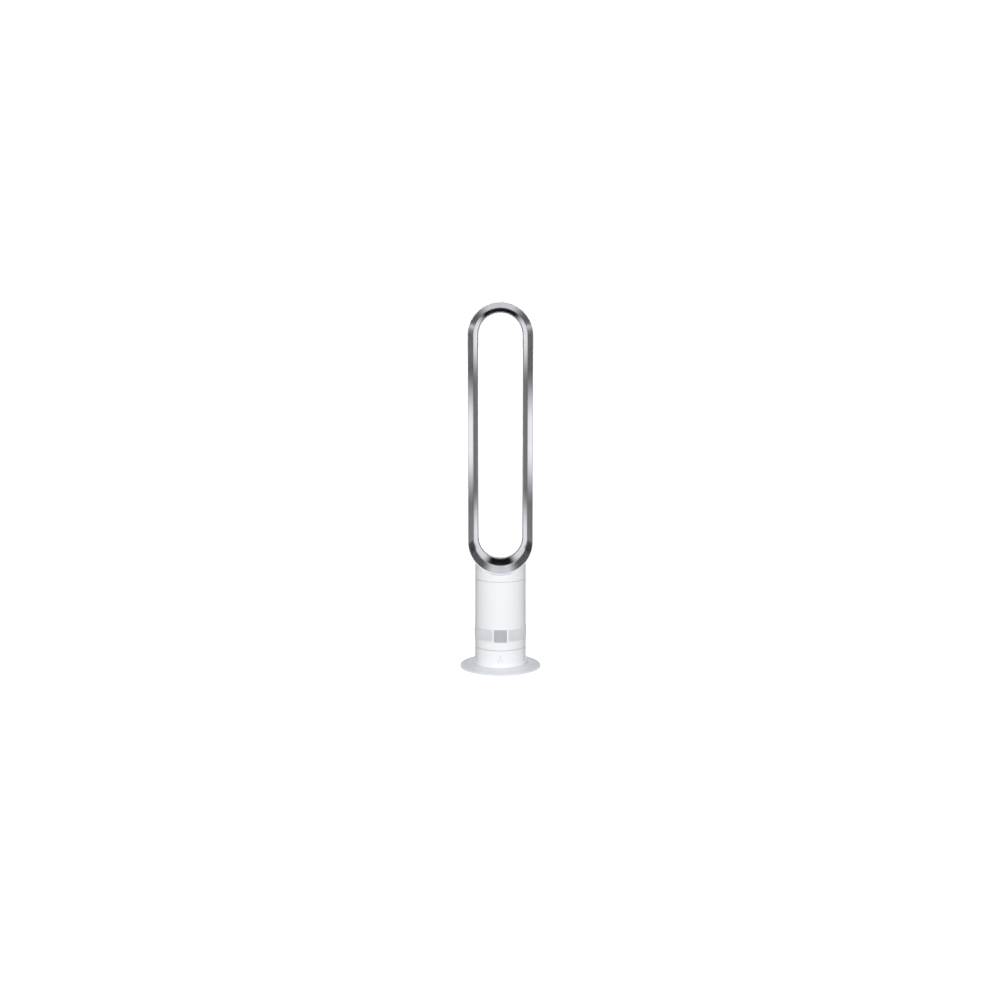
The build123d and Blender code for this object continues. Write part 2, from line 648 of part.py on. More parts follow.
with BuildPart() as duct_gasket:
    with BuildSketch(Plane.XY.offset(257.0)):
        SlotOverall(DUCT_LONG + 6.0, DUCT_WIDE + 6.0)
        SlotOverall(DUCT_LONG, DUCT_WIDE, mode=Mode.SUBTRACT)
    extrude(amount=3.0)

with BuildPart() as loop_locks:
    for side in (-1, 1):
        with Locations((0, side * (DUCT_WIDE / 2 + 1.5), 262.0)):
            Box(16.0, 3.0, 5.4, align=UP)

# ---------------------------------------------------------------- the loop
BACK_CENTRE = (LOOP_RADIUS - BACK_ROUND, LOOP_BACK - BACK_ROUND)
LIP_CENTRE = (LIP_RADIUS + LIP_ROUND, LOOP_BACK - LIP_ROUND)


def shell_outline():
    """The outer wall, the rounded back, and the lip that overhangs the outlet slot."""
    front = LOOP_FRONT + 0.4
    Line((SHELL_INSIDE, front), (LOOP_RADIUS - 0.9, front))
    RadiusArc((LOOP_RADIUS - 0.9, front), (LOOP_RADIUS, front + 0.9), -0.9)
    Line((LOOP_RADIUS, front + 0.9), (LOOP_RADIUS, BACK_CENTRE[1]))
    CenterArc(BACK_CENTRE, BACK_ROUND, 0, 90)
    CenterArc(LIP_CENTRE, LIP_ROUND, 90, 90)
    Polyline(
        (LIP_RADIUS, LIP_CENTRE[1]),
        (LIP_RADIUS, LIP_FRONT),
        (LIP_RADIUS + LIP_THICKNESS, LIP_FRONT),
        (LIP_RADIUS + SHELL_WALL, LIP_CENTRE[1]),
    )
    CenterArc(LIP_CENTRE, LIP_ROUND - SHELL_WALL, 90, 90)
    CenterArc(BACK_CENTRE, BACK_ROUND - SHELL_WALL, 0, 90)
    Line((SHELL_INSIDE, BACK_CENTRE[1]), (SHELL_INSIDE, front))


def bezel_outline():
    """The sloping front band, from the shell's front edge back to the crease."""
    radius, depth = BEZEL_EDGE
    Polyline(
        (radius, depth + 0.6),
        (radius - 0.6, depth),
        (radius - 1.0, depth + 0.5),
        CREASE,
        (CREASE[0] + 1.7, CREASE[1] + 0.55),
        (radius, depth + 6.0),
        (radius, depth + 0.6),
    )


def ring_outline():
    """The inner band: a shallow arc from the crease to the throat, and a tail that curls into the slot."""
    for skin in (0.0, RING_WALL):
        start = (CREASE[0] - 0.1 + skin, CREASE[1] + 0.5 + 0.4 * skin)
        throat = (THROAT_RADIUS + skin, THROAT_DEPTH)
        bulge = ((start[0] + throat[0]) / 2 - RING_BULGE, (start[1] + throat[1]) / 2)
        ThreePointArc(start, bulge, throat)
        Line(throat, (throat[0], SLOT_DEPTH))
        CenterArc((THROAT_RADIUS + TAIL_ROUND, SLOT_DEPTH), TAIL_ROUND - skin, 90, 90)
    Line((CREASE[0] - 0.1, CREASE[1] + 0.5), start)
    Line(
        (THROAT_RADIUS + TAIL_ROUND, SLOT_DEPTH + TAIL_ROUND),
        (THROAT_RADIUS + TAIL_ROUND, SLOT_DEPTH + TAIL_ROUND - RING_WALL),
    )


with BuildPart() as loop_shell:
    with BuildSketch(Plane.XY.offset(256.0)):
        SlotOverall(DUCT_LONG, DUCT_WIDE)
        SlotOverall(DUCT_LONG - 2 * DUCT_WALL, DUCT_WIDE - 2 * DUCT_WALL, mode=Mode.SUBTRACT)
    extrude(amount=40.0)
    with BuildSketch(LOOP_END_AXIS.offset(-100)):
        Circle(SHELL_INSIDE + 0.5)
    extrude(amount=200.0, mode=Mode.SUBTRACT)
    add(racetrack(shell_outline))
    with BuildSketch(Plane.XY.offset(256.0)):
        SlotOverall(DUCT_LONG - 2 * DUCT_WALL, DUCT_WIDE - 2 * DUCT_WALL)
    extrude(amount=34.0, mode=Mode.SUBTRACT)

with BuildPart() as front_bezel:
    add(racetrack(bezel_outline))

with BuildPart() as coanda_ring:
    add(racetrack(ring_outline))

SPACER_HEIGHTS = [ARC_BOTTOM + i * (ARC_TOP - ARC_BOTTOM) / 8 for i in range(9)]
SPACER_INSIDE = LIP_RADIUS + LIP_THICKNESS + 0.2

with BuildPart() as slot_spacers:
    for z in SPACER_HEIGHTS:
        for side in (-1, 1):
            with Locations((side * (THROAT_RADIUS + SPACER_INSIDE) / 2, LIP_FRONT + 1.0, z)):
                Box(THROAT_RADIUS - SPACER_INSIDE, 2.0, 1.2)

# ---------------------------------------------------------------- one STEP file per piece
PIECES = {
    "foot_plate": foot_plate,
    "foot_ballast": foot_ballast,
    "foot_bottom_cover": foot_bottom_cover,
    "foot_pads": foot_pads,
    "foot_screws": foot_screws,
    "base_casing": base_casing,
    "cord_gland": cord_gland,
    "glide_ring": glide_ring,
    "oscillation_motor": oscillation_motor,
    "oscillation_motor_screws": oscillation_motor_screws,
    "oscillation_pinion": oscillation_pinion,
    "power_button": power_button,
    "power_switch": power_switch,
    "switch_board": switch_board,
    "status_light_pipe": status_light_pipe,
    "swivel_retainer": swivel_retainer,
    "retainer_screws": retainer_screws,
    "hub_cable": hub_cable,
    "turntable": turntable,
    "ring_gear": ring_gear,
    "body_casing": body_casing,
    "casing_screws": casing_screws,
    "inlet_grille": inlet_grille,
    "display_frame": display_frame,
    "display_window": display_window,
    "display_board": display_board,
    "display_module": display_module,
    "infrared_receiver": infrared_receiver,
    "main_board": main_board,
    "board_screws": board_screws,
    "smoothing_capacitors": smoothing_capacitors,
    "driver_heatsink": driver_heatsink,
    "silencer_foam": silencer_foam,
    "impeller_bucket": impeller_bucket,
    "isolation_mounts": isolation_mounts,
    "bucket_seal": bucket_seal,
    "impeller": impeller,
    "rotor_shaft": rotor_shaft,
    "rotor_magnet": rotor_magnet,
    "motor_housing": motor_housing,
    "motor_end_cap": motor_end_cap,
    "motor_bearings": motor_bearings,
    "stator_core": stator_core,
    "stator_windings": stator_windings,
    "diffuser": diffuser,
    "motor_fairing": motor_fairing,
    "neck_collar": neck_collar,
    "duct_gasket": duct_gasket,
    "loop_locks": loop_locks,
    "loop_shell": loop_shell,
    "front_bezel": front_bezel,
    "coanda_ring": coanda_ring,
    "slot_spacers": slot_spacers,
}

os.makedirs("parts", exist_ok=True)
for name, piece in PIECES.items():
    piece.part.label = name
    export_step(piece.part, f"parts/{name}.step")
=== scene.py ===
"""Looks of a loop-type tower fan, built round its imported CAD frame.

Every shape is worked out in millimetres in the frame's own axes (+Z up, the front faces -Y) and put
into its mesh in metres. Sizes come from the frame's boxes, so each piece lies where its CAD node does.
"""
import logging
from collections.abc import Callable
from dataclasses import dataclass, field
from enum import Enum

import bmesh
import bpy
import numpy as np
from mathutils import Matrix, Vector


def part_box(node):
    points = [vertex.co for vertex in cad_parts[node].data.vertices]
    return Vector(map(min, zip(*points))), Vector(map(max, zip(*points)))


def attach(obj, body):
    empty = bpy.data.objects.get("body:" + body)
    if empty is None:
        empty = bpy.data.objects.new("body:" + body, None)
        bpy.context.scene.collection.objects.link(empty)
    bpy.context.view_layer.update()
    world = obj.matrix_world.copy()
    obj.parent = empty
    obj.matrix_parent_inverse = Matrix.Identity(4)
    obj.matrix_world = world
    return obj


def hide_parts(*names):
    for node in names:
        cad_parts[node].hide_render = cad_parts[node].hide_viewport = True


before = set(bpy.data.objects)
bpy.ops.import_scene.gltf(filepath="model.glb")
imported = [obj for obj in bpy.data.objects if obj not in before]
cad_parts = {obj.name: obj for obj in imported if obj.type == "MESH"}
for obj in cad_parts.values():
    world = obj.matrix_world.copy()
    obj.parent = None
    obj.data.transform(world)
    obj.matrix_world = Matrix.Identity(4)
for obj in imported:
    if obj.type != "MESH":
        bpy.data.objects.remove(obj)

LOG = logging.getLogger("tower_fan")
MM = 0.001
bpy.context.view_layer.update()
TAU = 2 * np.pi
FRONT = -np.pi / 2          # the angle, about the fan's axis, that faces the front

Pair = tuple[float, float]
Triple = tuple[float, float, float]
Surface = tuple[np.ndarray, np.ndarray]
Rim = Callable[[float], np.ndarray]


class Body(Enum):
    """The rigid bodies that new pieces ride on."""

    BASE = "base"
    TOWER = "tower"
    BUTTON = "button"


class Change(Enum):
    """What a Boolean does to a piece."""

    JOIN = "UNION"
    CUT = "DIFFERENCE"


class Step(Enum):
    """A step in a chain of nodes: its type, its inputs in order, its output, and its settings."""

    RAMP = (
        "ShaderNodeMapRange", ("Value", "From Min", "From Max", "To Min", "To Max"), 0,
        {"interpolation_type": "SMOOTHSTEP"},
    )
    MIX = ("ShaderNodeMix", (0, 2, 3), 0, {})
    DOT = ("ShaderNodeVectorMath", (0, 1), 1, {"operation": "DOT_PRODUCT"})
    ABSOLUTE = ("ShaderNodeMath", (0,), 0, {"operation": "ABSOLUTE"})
    ADD = ("ShaderNodeMath", (0, 1), 0, {"operation": "ADD"})
    SUBTRACT = ("ShaderNodeMath", (0, 1), 0, {"operation": "SUBTRACT"})
    DIVIDE = ("ShaderNodeMath", (0, 1), 0, {"operation": "DIVIDE"})
    POWER = ("ShaderNodeMath", (0, 1), 0, {"operation": "POWER"})
    MAXIMUM = ("ShaderNodeMath", (0, 1), 0, {"operation": "MAXIMUM"})
    SQRT = ("ShaderNodeMath", (0,), 0, {"operation": "SQRT"})
    ARCSINE = ("ShaderNodeMath", (0,), 0, {"operation": "ARCSINE"})
    ARCCOSINE = ("ShaderNodeMath", (0,), 0, {"operation": "ARCCOSINE"})
    DEGREES = ("ShaderNodeMath", (0,), 0, {"operation": "DEGREES"})


# ------------------------------------------------------------------ sizes read from the frame
@dataclass(frozen=True)
class Extent:
    """The box of one CAD node, in millimetres."""

    low: np.ndarray
    high: np.ndarray

    @classmethod
    def of(cls, node: str) -> "Extent":
        """Read a node's box.

        Args:
            node: the CAD node's name.

        Returns:
            Its lowest and highest corners in millimetres.
        """
        low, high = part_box(node)
        return cls(np.array(low) / MM, np.array(high) / MM)

    @property
    def radius(self) -> float:
        """Half the box's width, which is the radius of a round piece on the axis."""
        return float(self.high[0] - self.low[0]) / 2

    @property
    def bottom(self) -> float:
        """Lowest height."""
        return float(self.low[2])

    @property
    def top(self) -> float:
        """Highest height."""
        return float(self.high[2])

    @property
    def middle(self) -> float:
        """Height halfway up the box."""
        return (self.bottom + self.top) / 2


# ------------------------------------------------------------------ outlines
def arc(centre: Pair, radius: float, start: float, turn: float, steps: int = 8) -> np.ndarray:
    """Points on a circular arc: the centre plus the radius at evenly spaced angles.

    Args:
        centre: the arc's centre, as a pair.
        radius: its radius.
        start: first angle, in degrees.
        turn: angle swept, in degrees, positive anticlockwise.
        steps: number of points.

    Returns:
        The points, as rows.
    """
    angle = np.radians(np.linspace(start, start + turn, steps))
    return np.stack([centre[0] + radius * np.cos(angle), centre[1] + radius * np.sin(angle)], 1)


def run(start: Pair, end: Pair, hold: float = 0.35, steps: int = 4) -> np.ndarray:
    """Points along a straight side, the first and last a little in from its ends.

    They lie evenly on the line between the two, and the outer ones hold the flat flat where it
    meets an arc.

    Args:
        start: one end of the side.
        end: the other end.
        hold: distance of the first and last points from the ends.
        steps: number of points.

    Returns:
        The points, as rows.
    """
    first, last = np.asarray(start, float), np.asarray(end, float)
    share = min(hold / max(float(np.linalg.norm(last - first)), 1e-6), 0.3)
    t = np.linspace(share, 1 - share, steps)[:, None]
    return first * (1 - t) + last * t


def rounded(points: list[Pair], radii: list | tuple, steps: int = 6) -> np.ndarray:
    """Round the corners of a closed outline.

    A corner of inner angle 2h and radius r becomes an arc whose ends lie r / tan(h) along its two
    sides: the arc's centre plus the first spoke turned evenly into the second. Holding points on
    the sides keep them flat.

    Args:
        points: corners, as pairs.
        radii: one radius for each corner.
        steps: points on each arc.

    Returns:
        The outline's points, corner after corner.
    """
    corner = np.asarray(points, float)
    behind = np.roll(corner, 1, 0) - corner
    ahead = np.roll(corner, -1, 0) - corner
    long_behind = np.linalg.norm(behind, axis=1, keepdims=True)
    long_ahead = np.linalg.norm(ahead, axis=1, keepdims=True)
    behind, ahead = behind / long_behind, ahead / long_ahead
    half = np.arccos(np.clip((behind * ahead).sum(1, keepdims=True), -1, 1)) / 2
    half = np.clip(half, 0.05, np.pi / 2 - 1e-3)
    shorter = np.minimum(long_behind, long_ahead)
    reach = np.minimum(np.asarray(radii, float)[:, None] / np.tan(half), 0.42 * shorter)
    middle = behind + ahead
    middle /= np.maximum(np.linalg.norm(middle, axis=1, keepdims=True), 1e-9)
    centre = corner + middle * reach / np.cos(half)
    first, last = corner + behind * reach - centre, corner + ahead * reach - centre
    sweep = (np.pi - 2 * half)[:, None]
    t = np.linspace(0, 1, steps)[None, :, None]
    bend = first[:, None] * np.sin((1 - t) * sweep) + last[:, None] * np.sin(t * sweep)
    bend = centre[:, None] + bend / np.sin(sweep)
    step = np.minimum(0.25, 0.06 * shorter)
    before = (corner + behind * (reach + step))[:, None]
    after = (corner + ahead * (reach + step))[:, None]
    return np.concatenate([before, bend, after], 1).reshape(-1, 2)


def poled(outline: np.ndarray, first: float, last: float) -> np.ndarray:
    """Open an outline at the axis: its points off the axis, between a pole at each end.

    Args:
        outline: points of (radius, height), from the first pole round to the last.
        first: height of the first pole.
        last: height of the last pole.

    Returns:
        The points from pole to pole.
    """
    return np.vstack([[0, first], outline[outline[:, 0] > 0.3], [0, last]])


def round_rectangle(half_width: float, half_height: float, radius: float) -> np.ndarray:
    """A rounded rectangle about the origin: four quarter circles, and evenly spaced points between.

    Args:
        half_width: half its width.
        half_height: half its height.
        radius: the corners' radius.

    Returns:
        The outline's points.
    """
    corner_x, corner_y = half_width - radius, half_height - radius
    signs = [(1, 1), (-1, 1), (-1, -1), (1, -1)]
    corners = np.stack(
        [arc((corner_x * x, corner_y * y), radius, 90 * k, 90) for k, (x, y) in enumerate(signs)]
    )
    t = np.linspace(0, 1, 14)[1:-1, None]
    sides = corners[:, -1][:, None] * (1 - t) + np.roll(corners, -1, 0)[:, 0][:, None] * t
    return np.concatenate([corners, sides], 1).reshape(-1, 2)


def circle(radius: float, steps: int = 64) -> np.ndarray:
    """Points evenly round a circle about the origin."""
    return arc((0, 0), radius, 0, 360, steps + 1)[:-1]


# ------------------------------------------------------------------ surfaces
def quads(rows: int, columns: int, wrap_rows: bool, wrap_columns: bool) -> np.ndarray:
    """Faces of a grid of points stored row by row.

    Args:
        rows: rows of points.
        columns: points in a row.
        wrap_rows: join the last row to the first.
        wrap_columns: join the last point of each row to the first.

    Returns:
        One row of four indices for each face.
    """
    i, j = np.meshgrid(
        np.arange(rows if wrap_rows else rows - 1),
        np.arange(columns if wrap_columns else columns - 1),
        indexing="ij",
    )
    i, j = i.ravel(), j.ravel()
    here, below, beside = i * columns, (i + 1) % rows * columns, (j + 1) % columns
    return np.stack([here + j, here + beside, below + beside, below + j], 1)


def sheet_of(grid: np.ndarray, wrap_rows: bool, wrap_columns: bool) -> Surface:
    """Turn a grid of points, rows by columns by three, into points and faces."""
    return grid.reshape(-1, 3), quads(*grid.shape[:2], wrap_rows, wrap_columns)


def join(*shells: Surface) -> Surface:
    """Put several closed surfaces into one mesh, by counting each one's indices on from the last.

    Args:
        shells: the surfaces.

    Returns:
        Their points and faces together.
    """
    starts = np.cumsum([0] + [len(points) for points, _ in shells])
    faces = [faces + start for (_, faces), start in zip(shells, starts)]
    return np.concatenate([points for points, _ in shells]), np.concatenate(faces)


def make(name: str, surface: Surface) -> bpy.types.Object:
    """Make an object from points in millimetres and faces.

    Corners that meet, as at a pole, are merged, points and edges that no face uses are dropped, and the
    faces of each closed shell are then turned outwards.

    Args:
        name: the piece's name.
        surface: points and faces.

    Returns:
        The new object, smooth shaded, at the origin.
    """
    points, faces = surface
    mesh = bpy.data.meshes.new(name)
    mesh.from_pydata((points * MM).tolist(), [], faces.tolist())
    work = bmesh.new()
    work.from_mesh(mesh)
    bmesh.ops.remove_doubles(work, verts=work.verts, dist=1e-7)
    unused = [edge for edge in work.edges if not edge.link_faces]
    bmesh.ops.delete(work, geom=unused, context="EDGES")
    unused = [point for point in work.verts if not point.link_faces]
    bmesh.ops.delete(work, geom=unused, context="VERTS")
    bmesh.ops.recalc_face_normals(work, faces=work.faces)
    work.to_mesh(mesh)
    work.free()
    mesh.shade_smooth()
    piece = bpy.data.objects.new(name, mesh)
    bpy.context.scene.collection.objects.link(piece)
    return piece


def combine(piece: bpy.types.Object, other: bpy.types.Object, how: Change) -> None:
    """Join or cut a piece with another one, which is used up.

    Args:
        piece: the object that is changed.
        other: the object that is added to it or taken from it.
        how: whether it is added or taken.
    """
    change = piece.modifiers.new("combine", "BOOLEAN")
    change.object, change.operation, change.solver = other, how.value, "EXACT"
    bpy.context.view_layer.update()
    seen = piece.evaluated_get(bpy.context.evaluated_depsgraph_get())
    result = bpy.data.meshes.new_from_object(seen)
    piece.modifiers.clear()
    piece.data = result
    bpy.data.objects.remove(other)


def lathe(outline: np.ndarray, segments: int = 256, closed: bool = True) -> Surface:
    """Revolve an outline about the vertical axis.

    Point (r, h) at angle a goes to (r cos a, r sin a, h).

    Args:
        outline: points of (radius, height).
        segments: steps round the axis.
        closed: join the outline's ends; an open one runs from pole to pole.

    Returns:
        Points and faces.
    """
    angle = np.arange(segments) * TAU / segments
    radius, height = outline.T
    tall = np.broadcast_to(height, (segments, len(outline)))
    grid = np.stack([np.outer(np.cos(angle), radius), np.outer(np.sin(angle), radius), tall], -1)
    return sheet_of(grid, True, closed)


def lathe_forward(outline: np.ndarray, height: float, closed: bool = True) -> Surface:
    """Revolve an outline about a level axis that runs front to back.

    Point (r, d) at angle a goes to (r cos a, d, height + r sin a).

    Args:
        outline: points of (radius, depth).
        height: height of the axis.
        closed: join the outline's ends; an open one runs from pole to pole.

    Returns:
        Points and faces.
    """
    points, faces = lathe(outline, 96, closed)
    return np.stack([points[:, 0], points[:, 2], points[:, 1] + height], 1), faces


def wrap(across: np.ndarray, height: np.ndarray, radius: float) -> np.ndarray:
    """Lay a flat pattern round the front of the body.

    A point u to the side at radius r goes to depth -sqrt(r^2 - u^2), so its sideways place is u.

    Args:
        across: sideways places.
        height: heights.
        radius: the radius that it is laid at.

    Returns:
        The points, in space.
    """
    depth = -np.sqrt(np.maximum(radius**2 - across**2, 0))
    return np.stack(np.broadcast_arrays(across, depth, height), -1)


def plate(rim: Rim, stations: list, centre: float, radius: float, fill: int = 9) -> Surface:
    """A thin plate that follows the body's cylinder, with a shaped edge.

    Each station is (inset, lift): the rim drawn that far inside its outline, at that distance from the
    body's radius. The first and last rims are filled by rims that shrink evenly to a point.

    Args:
        rim: function of an inset that returns the outline's points.
        stations: the edge's section, from the back rim to the front rim.
        centre: height of the plate's middle.
        radius: radius that lifts are measured from.
        fill: number of shrinking rims on each side.

    Returns:
        Points and faces.
    """
    shrink = np.linspace(0, 1, fill + 1)[:-1]
    rings = [(rim(stations[0][0]) * s, stations[0][1]) for s in shrink]
    rings += [(rim(inset), lift) for inset, lift in stations]
    rings += [(rim(stations[-1][0]) * s, stations[-1][1]) for s in shrink[::-1]]
    grid = np.array([wrap(ring[:, 0], ring[:, 1] + centre, radius + lift) for ring, lift in rings])
    return sheet_of(grid, False, True)


def band_loop(rim: Rim, stations: list, centre: float, radius: float) -> Surface:
    """A closed frame that follows the body's cylinder: its section is the stations, joined end to end.

    Args:
        rim: function of an inset that returns the outline's points.
        stations: the frame's section, as pairs of inset and lift.
        centre: height of the frame's middle.
        radius: radius that lifts are measured from.

    Returns:
        Points and faces.
    """
    rings = [(rim(inset), lift) for inset, lift in stations]
    grid = np.array([wrap(ring[:, 0], ring[:, 1] + centre, radius + lift) for ring, lift in rings])
    return sheet_of(grid, True, True)


def racetrack(low: float, high: float, arc_steps: int = 64, run_steps: int = 24) -> np.ndarray:
    """Stations round a loop of two round ends and two straight sides.

    Round an end the angle grows evenly and the centre stays. Along a side the angle stays and the
    centre moves evenly, after a first short step that holds the side straight where it meets the end.

    Args:
        low: height of the lower end's centre.
        high: height of the upper end's centre.
        arc_steps: steps round each end.
        run_steps: steps along each side.

    Returns:
        Rows of (angle, height of the centre).
    """
    hold = 0.4
    over = np.linspace(0, np.pi, arc_steps + 1)
    down = np.array([high - hold, *np.linspace(high, low, run_steps + 1)[1:-1], low + hold])
    parts = [
        np.stack([over, np.full_like(over, high)], 1),
        np.stack([np.full_like(down, np.pi), down], 1),
        np.stack([over + np.pi, np.full_like(over, low)], 1),
        np.stack([np.full_like(down, TAU), down[::-1]], 1),
    ]
    return np.concatenate(parts)


def carry(outline: np.ndarray, stations: np.ndarray) -> Surface:
    """Carry an outline round a loop.

    Point (r, d) at a station of angle a and centre height h goes to (r cos a, d, h + r sin a).

    Args:
        outline: points of (radius, depth).
        stations: rows of (angle, height of the centre).

    Returns:
        Points and faces.
    """
    radius, depth = outline.T
    angle, centre = stations.T
    across = np.outer(np.cos(angle), radius)
    up = np.outer(np.sin(angle), radius) + centre[:, None]
    return sheet_of(np.stack([across, np.broadcast_to(depth, across.shape), up], -1), True, True)


def column(outline: np.ndarray, bottom: float, top: float) -> Surface:
    """A closed prism: an outline at two heights, each end filled by rims that shrink to its middle.

    Args:
        outline: points about the origin.
        bottom: its lower height.
        top: its upper height.

    Returns:
        Points and faces.
    """
    levels = [(0.0, bottom), (0.5, bottom), (1.0, bottom), (1.0, top), (0.5, top), (0.0, top)]
    grid = np.array(
        [np.column_stack([outline * size, np.full(len(outline), height)]) for size, height in levels]
    )
    return sheet_of(grid, False, True)


def stadium(long: float, wide: float) -> np.ndarray:
    """A slot's outline about the origin: half circles whose centres lie half of long less wide out.

    Args:
        long: overall length.
        wide: width.

    Returns:
        The outline's points.
    """
    out = (long - wide) / 2
    return np.vstack([arc((out, 0), wide / 2, -90, 180, 40), arc((-out, 0), wide / 2, 90, 180, 40)])


# ------------------------------------------------------------------ finishes
def linear(colour: str) -> tuple:
    """Turn an sRGB hex colour to linear light.

    A value v goes to v / 12.92 where it is very dark, and elsewhere to ((v + 0.055) / 1.055)^2.4.

    Args:
        colour: the colour, such as #c0c0c0.

    Returns:
        Red, green, blue and a full alpha.
    """
    value = np.array([int(colour[k:k + 2], 16) for k in (1, 3, 5)]) / 255
    curve = np.where(value <= 0.04045, value / 12.92, ((value + 0.055) / 1.055) ** 2.4)
    return (*(float(channel) for channel in curve), 1.0)


def per_metre(length_mm: float) -> float:
    """The scale of a pattern whose features are that many real millimetres long."""
    return 1 / (length_mm * MM)


def blank(holder: bpy.types.Material | bpy.types.World) -> bpy.types.NodeTree:
    """Switch a material's or a world's nodes on, and empty its tree.

    Args:
        holder: the material or the world.

    Returns:
        Its empty tree.
    """
    holder.use_nodes = True
    holder.node_tree.nodes.clear()
    return holder.node_tree


def add(tree: bpy.types.NodeTree, kind: str, inputs: dict | None = None, **settings: object) -> bpy.types.Node:
    """Add a node with its settings, and fill or link its sockets.

    Args:
        tree: the node tree it goes into.
        kind: the node's type name.
        inputs: socket name or index, to a number, a colour or another node's output.
        settings: the node's own properties.

    Returns:
        The new node.
    """
    made = tree.nodes.new(kind)
    for name, value in settings.items():
        setattr(made, name, value)
    for socket, value in (inputs or {}).items():
        if isinstance(value, bpy.types.NodeSocket):
            tree.links.new(value, made.inputs[socket])
        else:
            made.inputs[socket].default_value = value
    return made


def chain(tree: bpy.types.NodeTree, known: dict, rows: list[tuple]) -> dict:
    """Add a chain of nodes, each of which may read the outputs before it.

    Args:
        tree: the node tree they go into.
        known: outputs that are there already, by name.
        rows: each node's name, its step, and its inputs: numbers, vectors or names of outputs.

    Returns:
        All the outputs, by name.
    """
    known = dict(known)
    for name, step, *values in rows:
        kind, sockets, output, settings = step.value
        values = [known[value] if isinstance(value, str) else value for value in values]
        known[name] = add(tree, kind, dict(zip(sockets, values)), **settings).outputs[output]
    return known


@dataclass(frozen=True)
class Finish:
    """A smooth moulded or coated finish: slow drift of colour and gloss, and a fine grain.

    Lengths are real millimetres. drift is the share by which the colour varies, polish is how far
    the roughness varies, and relief_mm is the grain's height.
    """

    name: str
    slot: str
    colour: str
    roughness: float
    ior: float = 1.5
    metallic: float = 0.0
    drift: float = 0.03
    drift_mm: float = 45.0
    grain_mm: float = 3.0
    relief_mm: float = 0.004
    polish: float = 0.03
    see_through: float = 0.0

    def shades(self) -> tuple:
        """The darker and the lighter of the finish's two colours."""
        base = np.array(linear(self.colour)[:3])
        return tuple((*np.clip(base * (1 + way * self.drift), 0, 1), 1.0) for way in (-1, 1))

    def pattern(self, tree: bpy.types.NodeTree, place: bpy.types.NodeSocket) -> tuple:
        """Lay out the finish's pattern.

        Args:
            tree: the material's node tree.
            place: the Object coordinates, in metres.

        Returns:
            Two outputs: the mix between the two colours, and the height of the grain.
        """
        cloud = add(tree, "ShaderNodeTexNoise", {"Vector": place, "Scale": per_metre(self.drift_mm)})
        grain = add(tree, "ShaderNodeTexNoise", {"Vector": place, "Scale": per_metre(self.grain_mm)})
        return cloud.outputs["Fac"], grain.outputs["Fac"]

    def material(self) -> bpy.types.Material:
        """Make the material, or find it if it is made.

        Returns:
            The material.
        """
        made = bpy.data.materials.get(self.name)
        if made:
            return made
        made = bpy.data.materials.new(self.name)
        tree = blank(made)
        place = add(tree, "ShaderNodeTexCoord").outputs["Object"]
        blend, height = self.pattern(tree, place)
        dark, light = self.shades()
        colour = add(tree, "ShaderNodeMix", {0: blend, 6: dark, 7: light}, data_type="RGBA")
        dull, shiny = self.roughness - self.polish, self.roughness + self.polish
        gloss = add(tree, "ShaderNodeMapRange", {"Value": blend, "To Min": dull, "To Max": shiny})
        relief = {"Height": height, "Distance": self.relief_mm * MM, "Strength": 1.0}
        relief = add(tree, "ShaderNodeBump", relief)
        shader = {
            "Base Color": colour.outputs[2],
            "Roughness": gloss.outputs["Result"],
            "Normal": relief.outputs["Normal"],
            "Metallic": self.metallic,
            "IOR": self.ior,
            "Transmission Weight": self.see_through,
        }
        shader = add(tree, "ShaderNodeBsdfPrincipled", shader)
        add(tree, "ShaderNodeOutputMaterial", {"Surface": shader.outputs["BSDF"]})
        return made


@dataclass(frozen=True)
class Drawn(Finish):
    """Drawn or turned metal: fine scratches that run round the part, from noise stretched sideways."""

    def pattern(self, tree: bpy.types.NodeTree, place: bpy.types.NodeSocket) -> tuple:
        """Noise squeezed along the height, so that it reads as level scratches.

        Args:
            tree: the material's node tree.
            place: the Object coordinates, in metres.

        Returns:
            The mix between the two colours, and the height of the scratches.
        """
        squeezed = add(tree, "ShaderNodeMapping", {"Vector": place, "Scale": (0.08, 0.08, 1.0)})
        lines = {"Vector": squeezed.outputs["Vector"], "Scale": per_metre(self.grain_mm), "Detail": 4.0}
        lines = add(tree, "ShaderNodeTexNoise", lines)
        cloud = add(tree, "ShaderNodeTexNoise", {"Vector": place, "Scale": per_metre(self.drift_mm)})
        return cloud.outputs["Fac"], lines.outputs["Fac"]


@dataclass(frozen=True)
class Layered(Finish):
    """Stacked sheets or wound wire: level bands, grain_mm from one to the next."""

    wander: float = 0.0

    def pattern(self, tree: bpy.types.NodeTree, place: bpy.types.NodeSocket) -> tuple:
        """A sine along the height, whose twenty radians a unit are scaled to the spacing.

        Args:
            tree: the material's node tree.
            place: the Object coordinates, in metres.

        Returns:
            The bands twice, as the mix between the two colours and as the height.
        """
        spacing = {"Vector": place, "Scale": TAU / (20 * self.grain_mm * MM), "Distortion": self.wander}
        bands = add(tree, "ShaderNodeTexWave", spacing, bands_direction="Z")
        # The colour darkens with the height into each band's hollow: painted shade between turns of wire, and
        # between stacked sheets partly their joints and partly painted shade.
        return bands.outputs["Fac"], bands.outputs["Fac"]


@dataclass(frozen=True)
class Celled(Finish):
    """Open-cell foam: rounded pits grain_mm apart, their floors darkened by painted shade, with lighter ribs
    between them.
    """

    def pattern(self, tree: bpy.types.NodeTree, place: bpy.types.NodeSocket) -> tuple:
        """The distance to the nearest of scattered points, as both colour and height.

        Args:
            tree: the material's node tree.
            place: the Object coordinates, in metres.

        Returns:
            The distance twice.
        """
        cells = add(tree, "ShaderNodeTexVoronoi", {"Vector": place, "Scale": per_metre(self.grain_mm)})
        # The colour is darkest where the height is lowest: painted shade in the pits' floors.
        return cells.outputs["Distance"], cells.outputs["Distance"]


